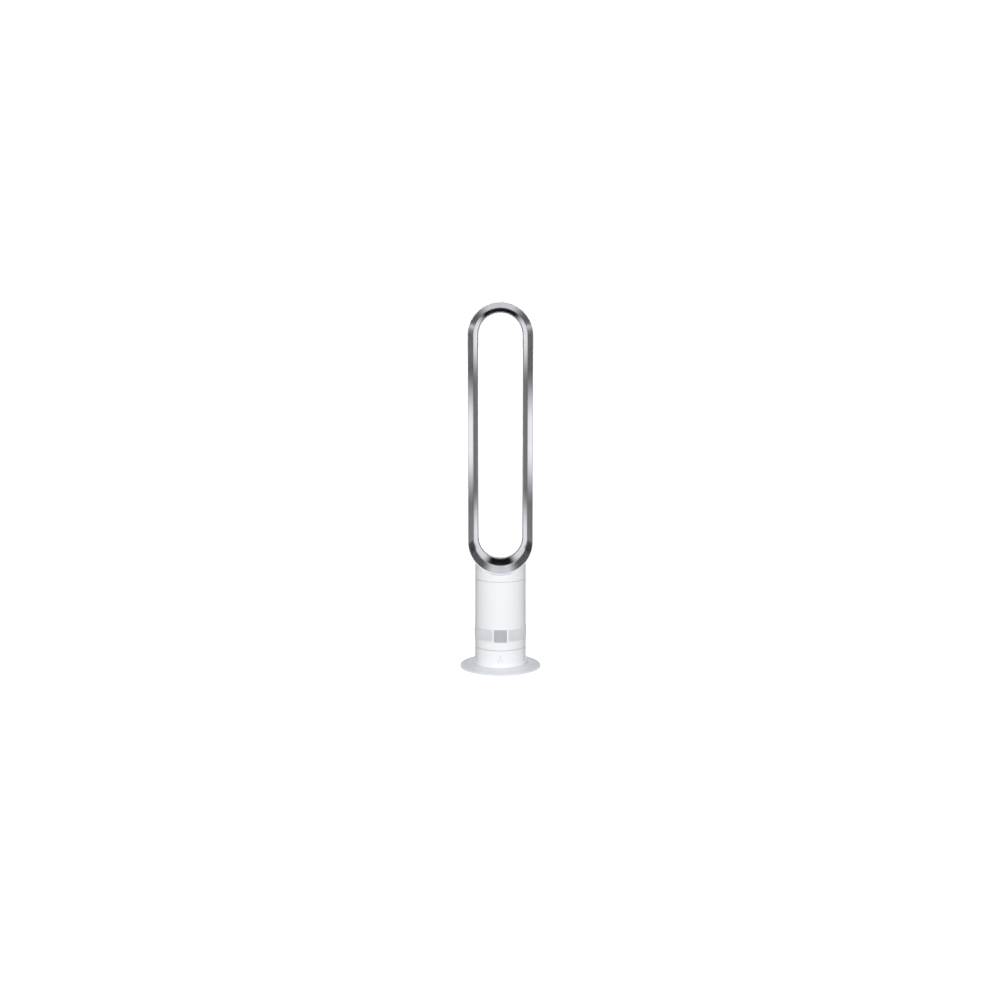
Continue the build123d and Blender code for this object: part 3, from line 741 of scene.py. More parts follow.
@dataclass(frozen=True)
class Tracked(Finish):
    """Solder mask over copper tracks: paler raised lines between irregular dark fields."""

    def pattern(self, tree: bpy.types.NodeTree, place: bpy.types.NodeSocket) -> tuple:
        """One near a cell's edge, falling to nought from a tenth to a sixth of the way in.

        Args:
            tree: the material's node tree.
            place: the Object coordinates, in metres.

        Returns:
            The lines twice, as the mix between the two colours and as the height.
        """
        cells = {"Vector": place, "Scale": per_metre(self.grain_mm), "Randomness": 0.45}
        cells = add(tree, "ShaderNodeTexVoronoi", cells, feature="DISTANCE_TO_EDGE")
        lines = {"Value": cells.outputs["Distance"], "From Min": 0.1, "From Max": 0.16}
        lines = add(tree, "ShaderNodeMapRange", lines | {"To Min": 1.0, "To Max": 0.0})
        return lines.outputs["Result"], lines.outputs["Result"]


# ABS moulded in a polished tool: bright cool white with a fairly sharp highlight, and a faint
# orange peel whose waves are a few millimetres long.
GLOSS_ABS = Finish(
    "abs_moulded_gloss_white", "white_abs", "#eceef1", 0.17, ior=1.53, drift=0.012, relief_mm=0.003
)
# ABS moulded in a blasted tool: a shade darker and cooler, with a broad low sheen.
FOOT_ABS = Finish(
    "abs_moulded_satin_white", "white_abs", "#dce0e6", 0.34, ior=1.53, drift=0.015, relief_mm=0.004
)
# ABS polished where a finger rests: as white as the casing, and a touch less sharp.
BUTTON_ABS = Finish("abs_moulded_polished_white", "button_plastic", "#e9ebee", 0.2, ior=1.53, drift=0.01)
# ABS trim: the lightest white here, so that it reads as a thin pale line.
FRAME_ABS = Finish("abs_moulded_gloss_trim_white", "frame_white", "#eff1f4", 0.22, ior=1.53, drift=0.01)
# Satin nickel laid on ABS in a vacuum: the mirror of a metal, softened by the moulding under it.
NICKEL = Finish(
    "nickel_vacuum_metallised_satin", "nickel", "#b9bac0", 0.11, metallic=1.0, drift=0.02, polish=0.015,
    relief_mm=0.0015, grain_mm=5.0,
)
# Spark-eroded polycarbonate: pale grey with almost no highlight, so the holes read as its texture.
GRILLE_PC = Finish(
    "polycarbonate_spark_eroded_grey", "grille_grey", "#e2e4e8", 0.55, ior=1.58, drift=0.02, grain_mm=1.2
)
# Polycarbonate tinted in the mass, hard-coated satin: one flat grey that hides the display behind.
WINDOW_PC = Finish(
    "polycarbonate_smoked_satin", "smoked_window", "#abadb5", 0.42, ior=1.58, drift=0.008, relief_mm=0.001
)
# Textured ABS of the inner mouldings: an even mid grey with a dry sheen.
GREY_ABS = Finish(
    "abs_moulded_textured_grey", "grey_abs", "#c2c4c8", 0.5, ior=1.53, grain_mm=1.0, relief_mm=0.02
)
# Frosted acrylic rod: milky, with a wet-looking cut end.
ACRYLIC = Finish(
    "acrylic_frosted_clear", "clear_acrylic", "#dfe3e6", 0.3, ior=1.49, drift=0.01, see_through=0.12
)
# Glass-filled nylon: near black and slightly chalky from the fibres at its skin.
NYLON = Finish(
    "nylon_glass_filled_black", "dark_plastic", "#1c1d1f", 0.48, ior=1.53, drift=0.12, grain_mm=0.9,
    relief_mm=0.02,
)
# Natural acetal: warm white and waxy, as gears and glide rings are.
ACETAL = Finish("acetal_machined_natural", "acetal", "#e8e4d8", 0.36, ior=1.48, drift=0.02, grain_mm=1.5)
# Solder mask printed over etched copper: glassy green, paler where a track lifts it.
BOARD = Tracked("solder_mask_green", "circuit_board", "#1d5a3a", 0.35, drift=0.3, grain_mm=4.0, relief_mm=0.035)
# PVC sheath, extruded: soft black with a long even sheen.
SHEATH = Finish(
    "pvc_sheath_extruded_black", "cable_sheath", "#17181a", 0.42, ior=1.53, drift=0.08, grain_mm=1.5
)
# Open-cell polyurethane foam: dark and dry, its pits drawn 1.6 mm apart so that they show, their floors
# darkened by painted shade.
FOAM = Celled("polyurethane_foam_open_cell", "foam", "#3a3b3e", 0.95, drift=0.5, grain_mm=1.6, relief_mm=0.5)
# Moulded rubber: soft black with a bloom that takes the highlight off.
RUBBER = Finish(
    "rubber_moulded_black", "rubber", "#26272a", 0.7, ior=1.52, drift=0.15, grain_mm=1.0, relief_mm=0.03
)
# Zinc-plated turned steel: cool silver, its glints drawn out round the part.
ZINC = Drawn("steel_zinc_plated", "steel", "#b4b8bd", 0.34, metallic=1.0, drift=0.08, grain_mm=0.4)
# Deep-drawn steel can: brighter and smoother than the screws, with faint level lines round its wall.
CAN = Drawn(
    "steel_deep_drawn_can", "motor_can", "#b9bcc0", 0.3, metallic=1.0, drift=0.06, grain_mm=0.5, relief_mm=0.005
)
# Electrical steel, stacked 0.5 mm sheets: fine level lines, dark between edges that catch the light, the dark
# partly the sheets' joints and partly painted shade.
LAMINATIONS = Layered(
    "electrical_steel_stacked", "lamination_steel", "#7d8086", 0.4, metallic=1.0, drift=0.35, grain_mm=0.5,
    relief_mm=0.03,
)
# Ferrite, sintered and ground: dull charcoal with a slight stony grain.
FERRITE = Finish("ferrite_sintered_ground", "magnet", "#2c2d30", 0.55, drift=0.12, grain_mm=0.6, relief_mm=0.01)
# Enamelled 0.8 mm copper wire, wound: warm orange ridges with glossy crowns, and painted shade in the hollows
# between the turns.
WINDINGS = Layered(
    "copper_wire_enamelled_wound", "copper", "#b5602c", 0.28, metallic=1.0, drift=0.3, grain_mm=0.8,
    relief_mm=0.2, wander=0.4,
)
# Die-cast aluminium, bead-blasted: pale, even and matt, with a sandy grain.
CASTING = Finish(
    "aluminium_die_cast_blasted", "heatsink_aluminium", "#b6b9bc", 0.5, metallic=1.0, drift=0.06, grain_mm=0.7,
    relief_mm=0.02,
)


# ------------------------------------------------------------------ sub-assemblies
@dataclass
class Assembly:
    """Pieces that are made, and CAD nodes that are carried over and only dressed."""

    carried: dict[Finish, tuple] = field(default_factory=dict)

    def build(self) -> None:
        """Make the new pieces. A sub-assembly with none leaves this as it is."""

    def place(self, name: str, surface: Surface, finish: Finish, body: Body) -> bpy.types.Object:
        """Make a piece that stands for the CAD node of the same name.

        Args:
            name: the node's name; the piece is called after it.
            surface: points and faces, in millimetres.
            finish: what it is made of.
            body: the body that it rides on.

        Returns:
            The new piece.
        """
        piece = make(f"{name}_shown", surface)
        self.settle(piece, name, finish, body)
        return piece

    def settle(self, piece: bpy.types.Object, name: str, finish: Finish, body: Body) -> None:
        """Dress a piece, let it ride, and hide the node that it stands for.

        Args:
            piece: the piece.
            name: the name of the CAD node that it replaces.
            finish: what it is made of.
            body: the body that it rides on.
        """
        piece.data.materials.clear()
        piece.data.materials.append(finish.material())
        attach(piece, body.value)
        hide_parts(name)
        LOG.info("%s rides on %s, %d faces, %s", piece.name, body.value, len(piece.data.polygons), finish.name)

    def dress(self) -> None:
        """Give every carried-over node its finish."""
        for finish, names in self.carried.items():
            for name in names:
                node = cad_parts[name]
                for held in node.material_slots:
                    held.material = finish.material()
                LOG.info("%s keeps its CAD mesh, %s", name, finish.name)


@dataclass
class Foot(Assembly):
    """The round foot: a thin dished plate on six pads, with its ballast and cover under it."""

    seat_radius: float = 74.8    # outside of the casing's seat
    seat_step: float = 0.9       # how far inside it the seat's rim lies
    gap: float = 1.6             # depth of the shadow gap round the seat
    gap_reach: float = 0.5       # how far outside the seat the gap goes
    sink: float = 0.15           # the plate's top below the seat's
    knee: Pair = (92.0, 8.3)     # radius and height where the slope eases
    brim: Pair = (110.6, 5.6)
    brim_edge: float = 3.4       # height at which the brim turns down
    rim_step: float = 0.3        # how far the rim leans in at the floor
    cover: Pair = (106.0, 2.6)   # radius and height of the cover's recess
    ballast: float = 78.0        # radius at which the hollow is at its highest
    hollow: float = 8.6
    radii: tuple = (0, 0.1, 0.15, 0.15, 0.25, 60, 4, 1.6, 0.5, 0.2, 0.2, 0.5, 0)
    carried: dict[Finish, tuple] = field(
        default_factory=lambda: {
            RUBBER: ("foot_pads",),
            GREY_ABS: ("foot_bottom_cover",),
            ZINC: ("foot_ballast", "foot_screws"),
        }
    )

    def build(self) -> None:
        """Revolve the plate: the seat and its shadow gap, a slope that eases into the brim, and the hollow."""
        size = Extent.of("foot_plate")
        rim, outside, floor = self.seat_radius - self.seat_step, self.seat_radius + self.gap_reach, size.bottom
        corners = [
            (0.0, size.top), (rim, size.top), (rim, size.top - self.gap), (outside, size.top - self.gap),
            (outside, size.top - self.sink), self.knee, self.brim, (size.radius, self.brim_edge),
            (size.radius - self.rim_step, floor), (self.cover[0], floor), self.cover,
            (self.ballast, self.hollow), (0.0, self.hollow),
        ]
        outline = rounded(corners, self.radii, steps=10)
        self.place("foot_plate", lathe(poled(outline, size.top, self.hollow)), FOOT_ABS, Body.BASE)


@dataclass
class Base(Assembly):
    """The fixed ring above the foot, with the oscillation drive, the button and its light."""

    button_radius: float = 6.5
    cap_back: float = 66.4       # distance of the cap's flat back from the axis
    cap_edge: tuple[Pair, ...] = ((0.0, -0.35), (0.08, -0.12), (0.3, 0.0))
    groove: tuple[Pair, ...] = ((1.2, 0.0), (1.35, -0.22), (1.75, -0.22), (1.9, 0.0))
    flange: Pair = (7.6, -64.0)  # radius and back of the flange behind the cap
    stem: Pair = (2.0, -57.8)
    tip: Pair = (1.3, -55.6)
    light_corner: float = 0.45
    light_edge: tuple[Pair, ...] = ((0.0, -0.2), (0.06, -0.06), (0.2, 0.0))
    gland_bore: float = 2.7
    gland_sleeve: float = 5.9
    gland_lips: Pair = (2.4, 2.7)  # thickness of the inner and the outer lip
    gland_radii: tuple = (0.3, 0.5, 0.5, 0.3, 0.3, 0.5, 1.2, 0.7)
    carried: dict[Finish, tuple] = field(
        default_factory=lambda: {
            GLOSS_ABS: ("base_casing",),
            ACETAL: ("glide_ring", "swivel_retainer", "oscillation_pinion", "ring_gear"),
            CAN: ("oscillation_motor",),
            ZINC: ("oscillation_motor_screws", "retainer_screws"),
            NYLON: ("power_switch",),
            BOARD: ("switch_board",),
            SHEATH: ("hub_cable",),
            GREY_ABS: ("turntable",),
        }
    )

    def button(self) -> None:
        """The push button: a cap that follows the casing's curve, with a turned groove, and its stem."""
        size = Extent.of("power_button")
        face, back = -float(size.low[1]), -self.cap_back
        stations = [(0.0, self.cap_back - face), *self.cap_edge, *self.groove]
        cap = plate(lambda inset: circle(self.button_radius - inset), stations, size.middle, face)
        corners = [
            (0.0, back), (self.flange[0], back), self.flange, (self.stem[0], self.flange[1]), self.stem,
            (self.tip[0], self.stem[1]), self.tip, (0.0, self.tip[1]),
        ]
        stem = poled(rounded(corners, [0, 0.3, 0.3, 0.2, 0.2, 0.2, 0.2, 0]), back, self.tip[1])
        self.place("power_button", join(cap, lathe_forward(stem, size.middle, False)), BUTTON_ABS, Body.BUTTON)

    def light(self) -> None:
        """The light pipe: a slim bar whose end follows the casing's curve and has a soft edge."""
        size = Extent.of("status_light_pipe")
        half_width, half_height = size.radius, (size.top - size.bottom) / 2
        face, back = -float(size.low[1]), -float(size.high[1])
        bar = plate(
            lambda inset: round_rectangle(half_width - inset, half_height - inset, self.light_corner - inset),
            [(0.0, back - face), *self.light_edge],
            size.middle,
            face,
        )
        self.place("status_light_pipe", bar, ACRYLIC, Body.BASE)

    def gland(self) -> None:
        """The cord gland: a flanged sleeve with rounded lips, revolved about its bore."""
        size = Extent.of("cord_gland")
        inner, outer = float(size.low[1]), float(size.high[1])
        bore, sleeve, lip = self.gland_bore, self.gland_sleeve, size.radius
        near, far = inner + self.gland_lips[0], outer - self.gland_lips[1]
        corners = [
            (bore, inner), (lip, inner), (lip, near), (sleeve, near), (sleeve, far), (lip, far), (lip, outer),
            (bore, outer),
        ]
        surface = lathe_forward(rounded(corners, self.gland_radii), size.middle)
        self.place("cord_gland", surface, RUBBER, Body.BASE)

    def build(self) -> None:
        """Make the button, the light and the gland."""
        self.button()
        self.light()
        self.gland()


@dataclass
class Air(Assembly):
    """Everything that moves the air, inside the turning body."""

    carried: dict[Finish, tuple] = field(
        default_factory=lambda: {
            GREY_ABS: ("impeller_bucket", "diffuser", "motor_fairing", "loop_locks", "slot_spacers"),
            RUBBER: ("isolation_mounts", "bucket_seal", "duct_gasket"),
            CASTING: ("motor_housing", "motor_end_cap", "driver_heatsink"),
            ZINC: ("motor_bearings", "rotor_shaft", "board_screws", "casing_screws"),
            LAMINATIONS: ("stator_core",),
            WINDINGS: ("stator_windings",),
            FERRITE: ("rotor_magnet",),
            NYLON: ("impeller", "display_module", "infrared_receiver", "smoothing_capacitors"),
            BOARD: ("main_board", "display_board"),
            FOAM: ("silencer_foam",),
        }
    )


@dataclass
class Tower(Assembly):
    """The turning body: its casing, the perforated inlet band, and the display set into it."""

    rows: int = 14
    columns: int = 158
    hole_radius: float = 0.8
    gap_half: float = 20.45
    edge_radius: float = 71.7
    swell: float = 1.0
    seat_gap: float = 0.05       # clearance between the band and the casing's seat
    window_half: float = 17.7
    window_gap: float = 0.05     # clearance between the window and its frame
    window_corner: float = 1.5
    window_edge: tuple[Pair, ...] = ((0.0, 0.0), (0.0, 2.2), (0.06, 2.45), (0.2, 2.57), (0.5, 2.6))
    pocket: float = 2.5          # depth of the frame
    frame_corners: Pair = (0.9, 1.55)  # corner radius outside, and at the opening
    frame_section: tuple[Pair, ...] = (
        (0.0, 0.0), (0.0, 1.3), (0.0, 2.25), (0.06, 2.45), (0.2, 2.5), (0.8, 2.5), (0.94, 2.45), (1.0, 2.25),
        (1.0, 1.3), (1.0, 0.0),
    )
    carried: dict[Finish, tuple] = field(default_factory=lambda: {GLOSS_ABS: ("body_casing",)})

    def grille(self) -> None:
        """The inlet band, a lattice of square cells, each with a round hole of eight sides.

        A lattice point at share u along the band and v up it has angle start + u sweep and height
        bottom + v tall. Its outer radius is the edge's plus a swell of 4 v (1 - v), and its inner
        radius is the seat's. Each cell joins the eight points on its edge to eight on its hole, on both
        faces, and the hole's wall joins the two. The border's cells are solid.
        """
        size = Extent.of("inlet_grille")
        seat = Extent.of("display_frame")
        inner = float(np.hypot(seat.high[0], seat.high[1])) + self.seat_gap
        start = FRONT + np.arcsin(self.gap_half / self.edge_radius)
        sweep = TAU - 2 * np.arcsin(self.gap_half / self.edge_radius)
        wide, high = 2 * self.columns + 1, 2 * self.rows + 1
        tall = size.top - size.bottom
        unit = sweep * self.edge_radius / (2 * self.columns), tall / (2 * self.rows)

        def lay(b: np.ndarray, a: np.ndarray, outside: bool) -> np.ndarray:
            """Put lattice places on the outer or the inner face, by the formula above.

            Args:
                b: places along the band.
                a: places up it.
                outside: the outer face, rather than the inner one.

            Returns:
                Their points.
            """
            angle, share = start + sweep * b / (wide - 1), a / (high - 1)
            radius = self.edge_radius + self.swell * 4 * share * (1 - share) if outside else inner
            level = size.bottom + tall * share
            return np.stack([radius * np.cos(angle), radius * np.sin(angle), level], -1)

        a, b = np.meshgrid(np.arange(high), np.arange(wide), indexing="ij")
        lattice = [lay(b.ravel(), a.ravel(), outside) for outside in (True, False)]
        i, j = (m.ravel() for m in np.meshgrid(np.arange(self.rows), np.arange(self.columns), indexing="ij"))
        edge = (i == 0) | (i == self.rows - 1) | (j == 0) | (j == self.columns - 1)
        up = np.array([-1, -1, -1, 0, 1, 1, 1, 0])
        along = np.array([-1, 0, 1, 1, 1, 0, -1, -1])
        spoke = np.hypot(up, along)
        ci, cj = 2 * i[~edge, None] + 1, 2 * j[~edge, None] + 1
        around = (ci + up) * wide + cj + along
        out_b, out_a = (way / spoke * self.hole_radius / step for way, step in zip((along, up), unit))
        hole = [lay(cj + out_b, ci + out_a, side) for side in (True, False)]
        points = np.concatenate([*lattice, *(h.reshape(-1, 3) for h in hole)])
        face_size, holes = high * wide, around.size
        rim = [2 * face_size + side * holes + np.arange(holes).reshape(-1, 8) for side in (0, 1)]

        def turned(index: np.ndarray) -> np.ndarray:
            """The next of the eight points round each cell."""
            return np.roll(index, -1, 1)

        faces = []
        for side in (0, 1):
            outer = around + side * face_size
            faces.append(np.stack([outer, turned(outer), turned(rim[side]), rim[side]], -1).reshape(-1, 4))
            corner = (2 * i[edge, None] + np.array([0, 0, 1, 1])) * wide
            corner = (corner + 2 * j[edge, None] + np.array([0, 1, 0, 1])).ravel() + side * face_size
            faces.append(np.stack([corner, corner + 1, corner + wide + 1, corner + wide], -1))
        faces.append(np.stack([rim[0], turned(rim[0]), turned(rim[1]), rim[1]], -1).reshape(-1, 4))
        row, line = np.arange(wide), np.arange(high) * wide
        for strip in (row, row + (high - 1) * wide, line, line + wide - 1):
            faces.append(np.stack([strip[:-1], strip[1:], strip[1:] + face_size, strip[:-1] + face_size], -1))
        self.place("inlet_grille", (points, np.concatenate(faces)), GRILLE_PC, Body.TOWER)

    def display(self) -> None:
        """The display's frame and its window, each a rounded rectangle laid round the body."""
        frame_size, window_size = Extent.of("display_frame"), Extent.of("display_window")
        half, high = frame_size.radius, (frame_size.top - frame_size.bottom) / 2
        window_high = (window_size.top - window_size.bottom) / 2
        seat = -float(frame_size.low[1]) - self.pocket
        across, upward = half - self.window_half - self.window_gap, high - window_high - self.window_gap
        outer, opening = self.frame_corners

        def rim(share: float) -> np.ndarray:
            """The rectangle part of the way from the frame's outside to its opening."""
            corner = outer + (opening - outer) * share
            return round_rectangle(half - across * share, high - upward * share, corner)

        ring = band_loop(rim, list(self.frame_section), frame_size.middle, seat)
        self.place("display_frame", ring, FRAME_ABS, Body.TOWER)
        wide, corner = self.window_half, self.window_corner
        pane = plate(
            lambda inset: round_rectangle(wide - inset, window_high - inset, corner - inset),
            list(self.window_edge),
            window_size.middle,
            seat,
        )
        self.place("display_window", pane, WINDOW_PC, Body.TOWER)

    def build(self) -> None:
        """Make the inlet band and the display."""
        self.grille()
        self.display()


@dataclass
class Loop(Assembly):
    """The air loop and the collar that it stands in."""

    wall: float = 2.2
    front: float = -54.6
    front_round: float = 0.9
    inner_round: float = 0.3
    lip_radius: float = 60.5
    lip_round: float = 5.0
    lip_front: float = 38.0
    lip_wall: float = 1.2
    throat: Pair = (62.7, 36.0)
    tail: Pair = (66.7, 42.0)
    tail_round: float = 4.0
    skin: float = 1.6
    bulge: float = 0.8           # how far the slope bows in
    crease: Pair = (74.0, -15.0)  # where the front band meets the inner one
    duct: Pair = (90.0, 54.0)    # length and width of the spigot
    duct_wall: float = 2.0
    duct_reach: float = 20.0     # how far the spigot runs up into the shell before it is trimmed
    seat_gap: float = 0.15       # clearance between the collar's seat and the loop
    deck: float = 2.5            # thickness of the seat
    reveal: float = 1.0          # height of the collar's edge above the casing
    skirt: float = 2.6           # how far inside the collar its skirt, its wall and its throat lie
    collar_wall: float = 2.7
    collar_throat: float = 5.1
    radius: float = field(init=False)
    low: float = field(init=False)
    high: float = field(init=False)
    back: float = field(init=False)
    stations: np.ndarray = field(init=False)

    def __post_init__(self) -> None:
        """Read the loop's radius and the heights of its two round ends from the frame."""
        bezel, shell = Extent.of("front_bezel"), Extent.of("loop_shell")
        self.radius = shell.radius
        self.low, self.high = bezel.bottom + bezel.radius, bezel.top - bezel.radius
        self.back = float(shell.high[1])
        self.stations = racetrack(self.low, self.high)

    def shell(self) -> None:
        """The outer wall, carried round: a straight side, a back of two arcs, and the rear lip.

        The duct's slot is cut through its lower end and the spigot added round it.
        """
        inside = self.radius - self.wall
        large = self.radius - self.lip_radius - self.lip_round
        back_at, lip_at = self.radius - large, self.lip_radius + self.lip_round
        big, small = (back_at, self.back - large), (lip_at, self.back - self.lip_round)
        tip, thin, front, edge = self.lip_front, self.lip_wall, self.front_round, self.inner_round
        outline = np.concatenate(
            [
                arc((self.radius - front, self.front + front), front, -90, 90, 8),
                run((self.radius, self.front + front), (self.radius, big[1])),
                arc(big, large, 0, 90, 20),
                arc(small, self.lip_round, 90, 90, 12),
                run((self.lip_radius, small[1]), (self.lip_radius, tip + 0.5)),
                arc((self.lip_radius + thin / 2, tip + thin / 2), thin / 2, 180, 180, 8),
                run((self.lip_radius + thin, tip + 0.6), (self.lip_radius + self.wall, small[1])),
                arc(small, self.lip_round - self.wall, 180, -90, 10),
                arc(big, large - self.wall, 90, -90, 16),
                run((inside, big[1]), (inside, self.front + edge)),
                arc((inside + edge, self.front + edge), edge, 180, 90, 4),
            ]
        )
        piece = make("loop_shell_shown", carry(outline, self.stations))
        bottom, (long, wide) = Extent.of("loop_shell").bottom, self.duct
        bore = stadium(long - 2 * self.duct_wall, wide - 2 * self.duct_wall)
        top = self.low - inside + self.duct_reach
        spigot = make("spigot", column(stadium(long, wide), bottom, top))
        past, ends = inside + 0.6, 60.0
        round_end = np.array([(0.0, -ends), (past, -ends), (past, ends), (0.0, ends)])
        combine(spigot, make("round_end", lathe_forward(round_end, self.low, False)), Change.CUT)
        combine(piece, spigot, Change.JOIN)
        combine(piece, make("bore", column(bore, bottom - 5.0, bottom + 34.0)), Change.CUT)
        piece.data.shade_smooth()
        self.settle(piece, "loop_shell", GLOSS_ABS, Body.TOWER)

    def bezel(self) -> None:
        """The sloping front band: a thin wedge with rounded edges, carried round."""
        size = Extent.of("front_bezel")
        edge, depth = size.radius, float(size.low[1])
        outline = rounded(
            [
                (edge, depth + 0.6), (edge - 0.6, depth), (edge - 1.0, depth + 0.5), self.crease,
                (self.crease[0] + 1.7, self.crease[1] + 0.55), (edge, depth + 6.0),
            ],
            [0.3, 0.3, 0.3, 0.15, 0.3, 0.5],
        )
        self.place("front_bezel", carry(outline, self.stations), NICKEL, Body.TOWER)

    def ring(self) -> None:
        """The inner band, carried round: a bowed slope to the throat, a straight, and a curled tail.

        The slope is its chord moved inwards by 4 t (1 - t) times the bow.
        """
        t = np.linspace(0, 1, 20)[:, None]
        bow = np.hstack([-self.bulge * 4 * t * (1 - t), 0 * t])
        start = np.array([self.crease[0] - 0.1, self.crease[1] + 0.5])
        throat, skin = np.array(self.throat), np.array([self.skin, 0.0])
        face = start * (1 - t) + throat * t + bow
        back = (start + (self.skin, 0.4 * self.skin)) * (1 - t) + (throat + skin) * t + bow
        outline = np.concatenate(
            [
                face,
                run(self.throat, (self.throat[0], self.tail[1])),
                arc(self.tail, self.tail_round, 180, -90, 10),
                arc(self.tail, self.tail_round - self.skin, 90, 90, 10),
                run((self.throat[0] + self.skin, self.tail[1]), (self.throat[0] + self.skin, self.throat[1])),
                back[::-1],
            ]
        )
        self.place("coanda_ring", carry(outline, self.stations), NICKEL, Body.TOWER)

    def collar(self) -> None:
        """The neck: a tube whose top is cut by the loop's round end, with a decked seat.

        At angle a and radius r the seat's height is the loop's lower centre less
        sqrt(R^2 - (r cos a)^2). The opening's radius along that angle is where the ray leaves the
        duct's slot: its straight side if it meets it, or else its round end.
        """
        size = Extent.of("neck_collar")
        outer, seat = size.radius, self.radius + self.seat_gap
        under = seat + self.deck
        skirt, wall_inside, throat = outer - self.skirt, outer - self.collar_wall, outer - self.collar_throat
        ledge = Extent.of("body_casing").top + self.reveal
        angle = np.arange(512) * TAU / 512
        cosine, sine = np.cos(angle), np.sin(angle)
        half_wide, half_run = (self.duct[1] + 0.6) / 2, (self.duct[0] - self.duct[1]) / 2
        straight = half_wide / np.maximum(np.abs(sine), 1e-9)
        end = half_run * np.abs(cosine) + np.sqrt(np.maximum(half_wide**2 - (half_run * sine) ** 2, 0))
        opening = np.where(straight * np.abs(cosine) <= half_run, straight, end)

        def saddle(radius: np.ndarray | float, round_radius: float) -> np.ndarray:
            """Height of the loop's round end over a point at that radius."""
            return self.low - np.sqrt(round_radius**2 - (radius * cosine) ** 2)

        brink = saddle(outer, seat)
        points = [
            (throat, size.bottom), (throat + 0.2, size.bottom), (skirt, size.bottom), (skirt, ledge),
            (outer - 0.4, ledge), (outer - 0.1, ledge + 0.12), (outer, ledge + 0.4), (outer, ledge + 0.9),
            (outer, brink * 0.5 + ledge * 0.5), (outer, brink - 1.0), (outer, brink - 0.6),
            (outer - 0.12, brink - 0.22), (outer - 0.5, saddle(outer - 0.5, seat)),
        ]
        across = np.linspace(0, 1, 9)[1:]
        points += [(r, saddle(r, seat)) for r in ((outer - 0.5) * (1 - s) + opening * s for s in across)]
        back = np.linspace(0, 1, 8)
        points += [(r, saddle(r, under)) for r in (opening * (1 - s) + wall_inside * s for s in back)]
        points += [(wall_inside, ledge + 2.0), (throat, ledge + 2.0)]
        radius = np.stack([np.broadcast_to(r, angle.shape) for r, _ in points], 1)
        level = np.stack([np.broadcast_to(z, angle.shape) for _, z in points], 1)
        grid = np.stack([radius * cosine[:, None], radius * sine[:, None], level], -1)
        self.place("neck_collar", sheet_of(grid, True, True), GLOSS_ABS, Body.TOWER)

    def build(self) -> None:
        """Make the collar, the shell, the bezel and the inner band."""
        self.collar()
        self.shell()
        self.bezel()
        self.ring()


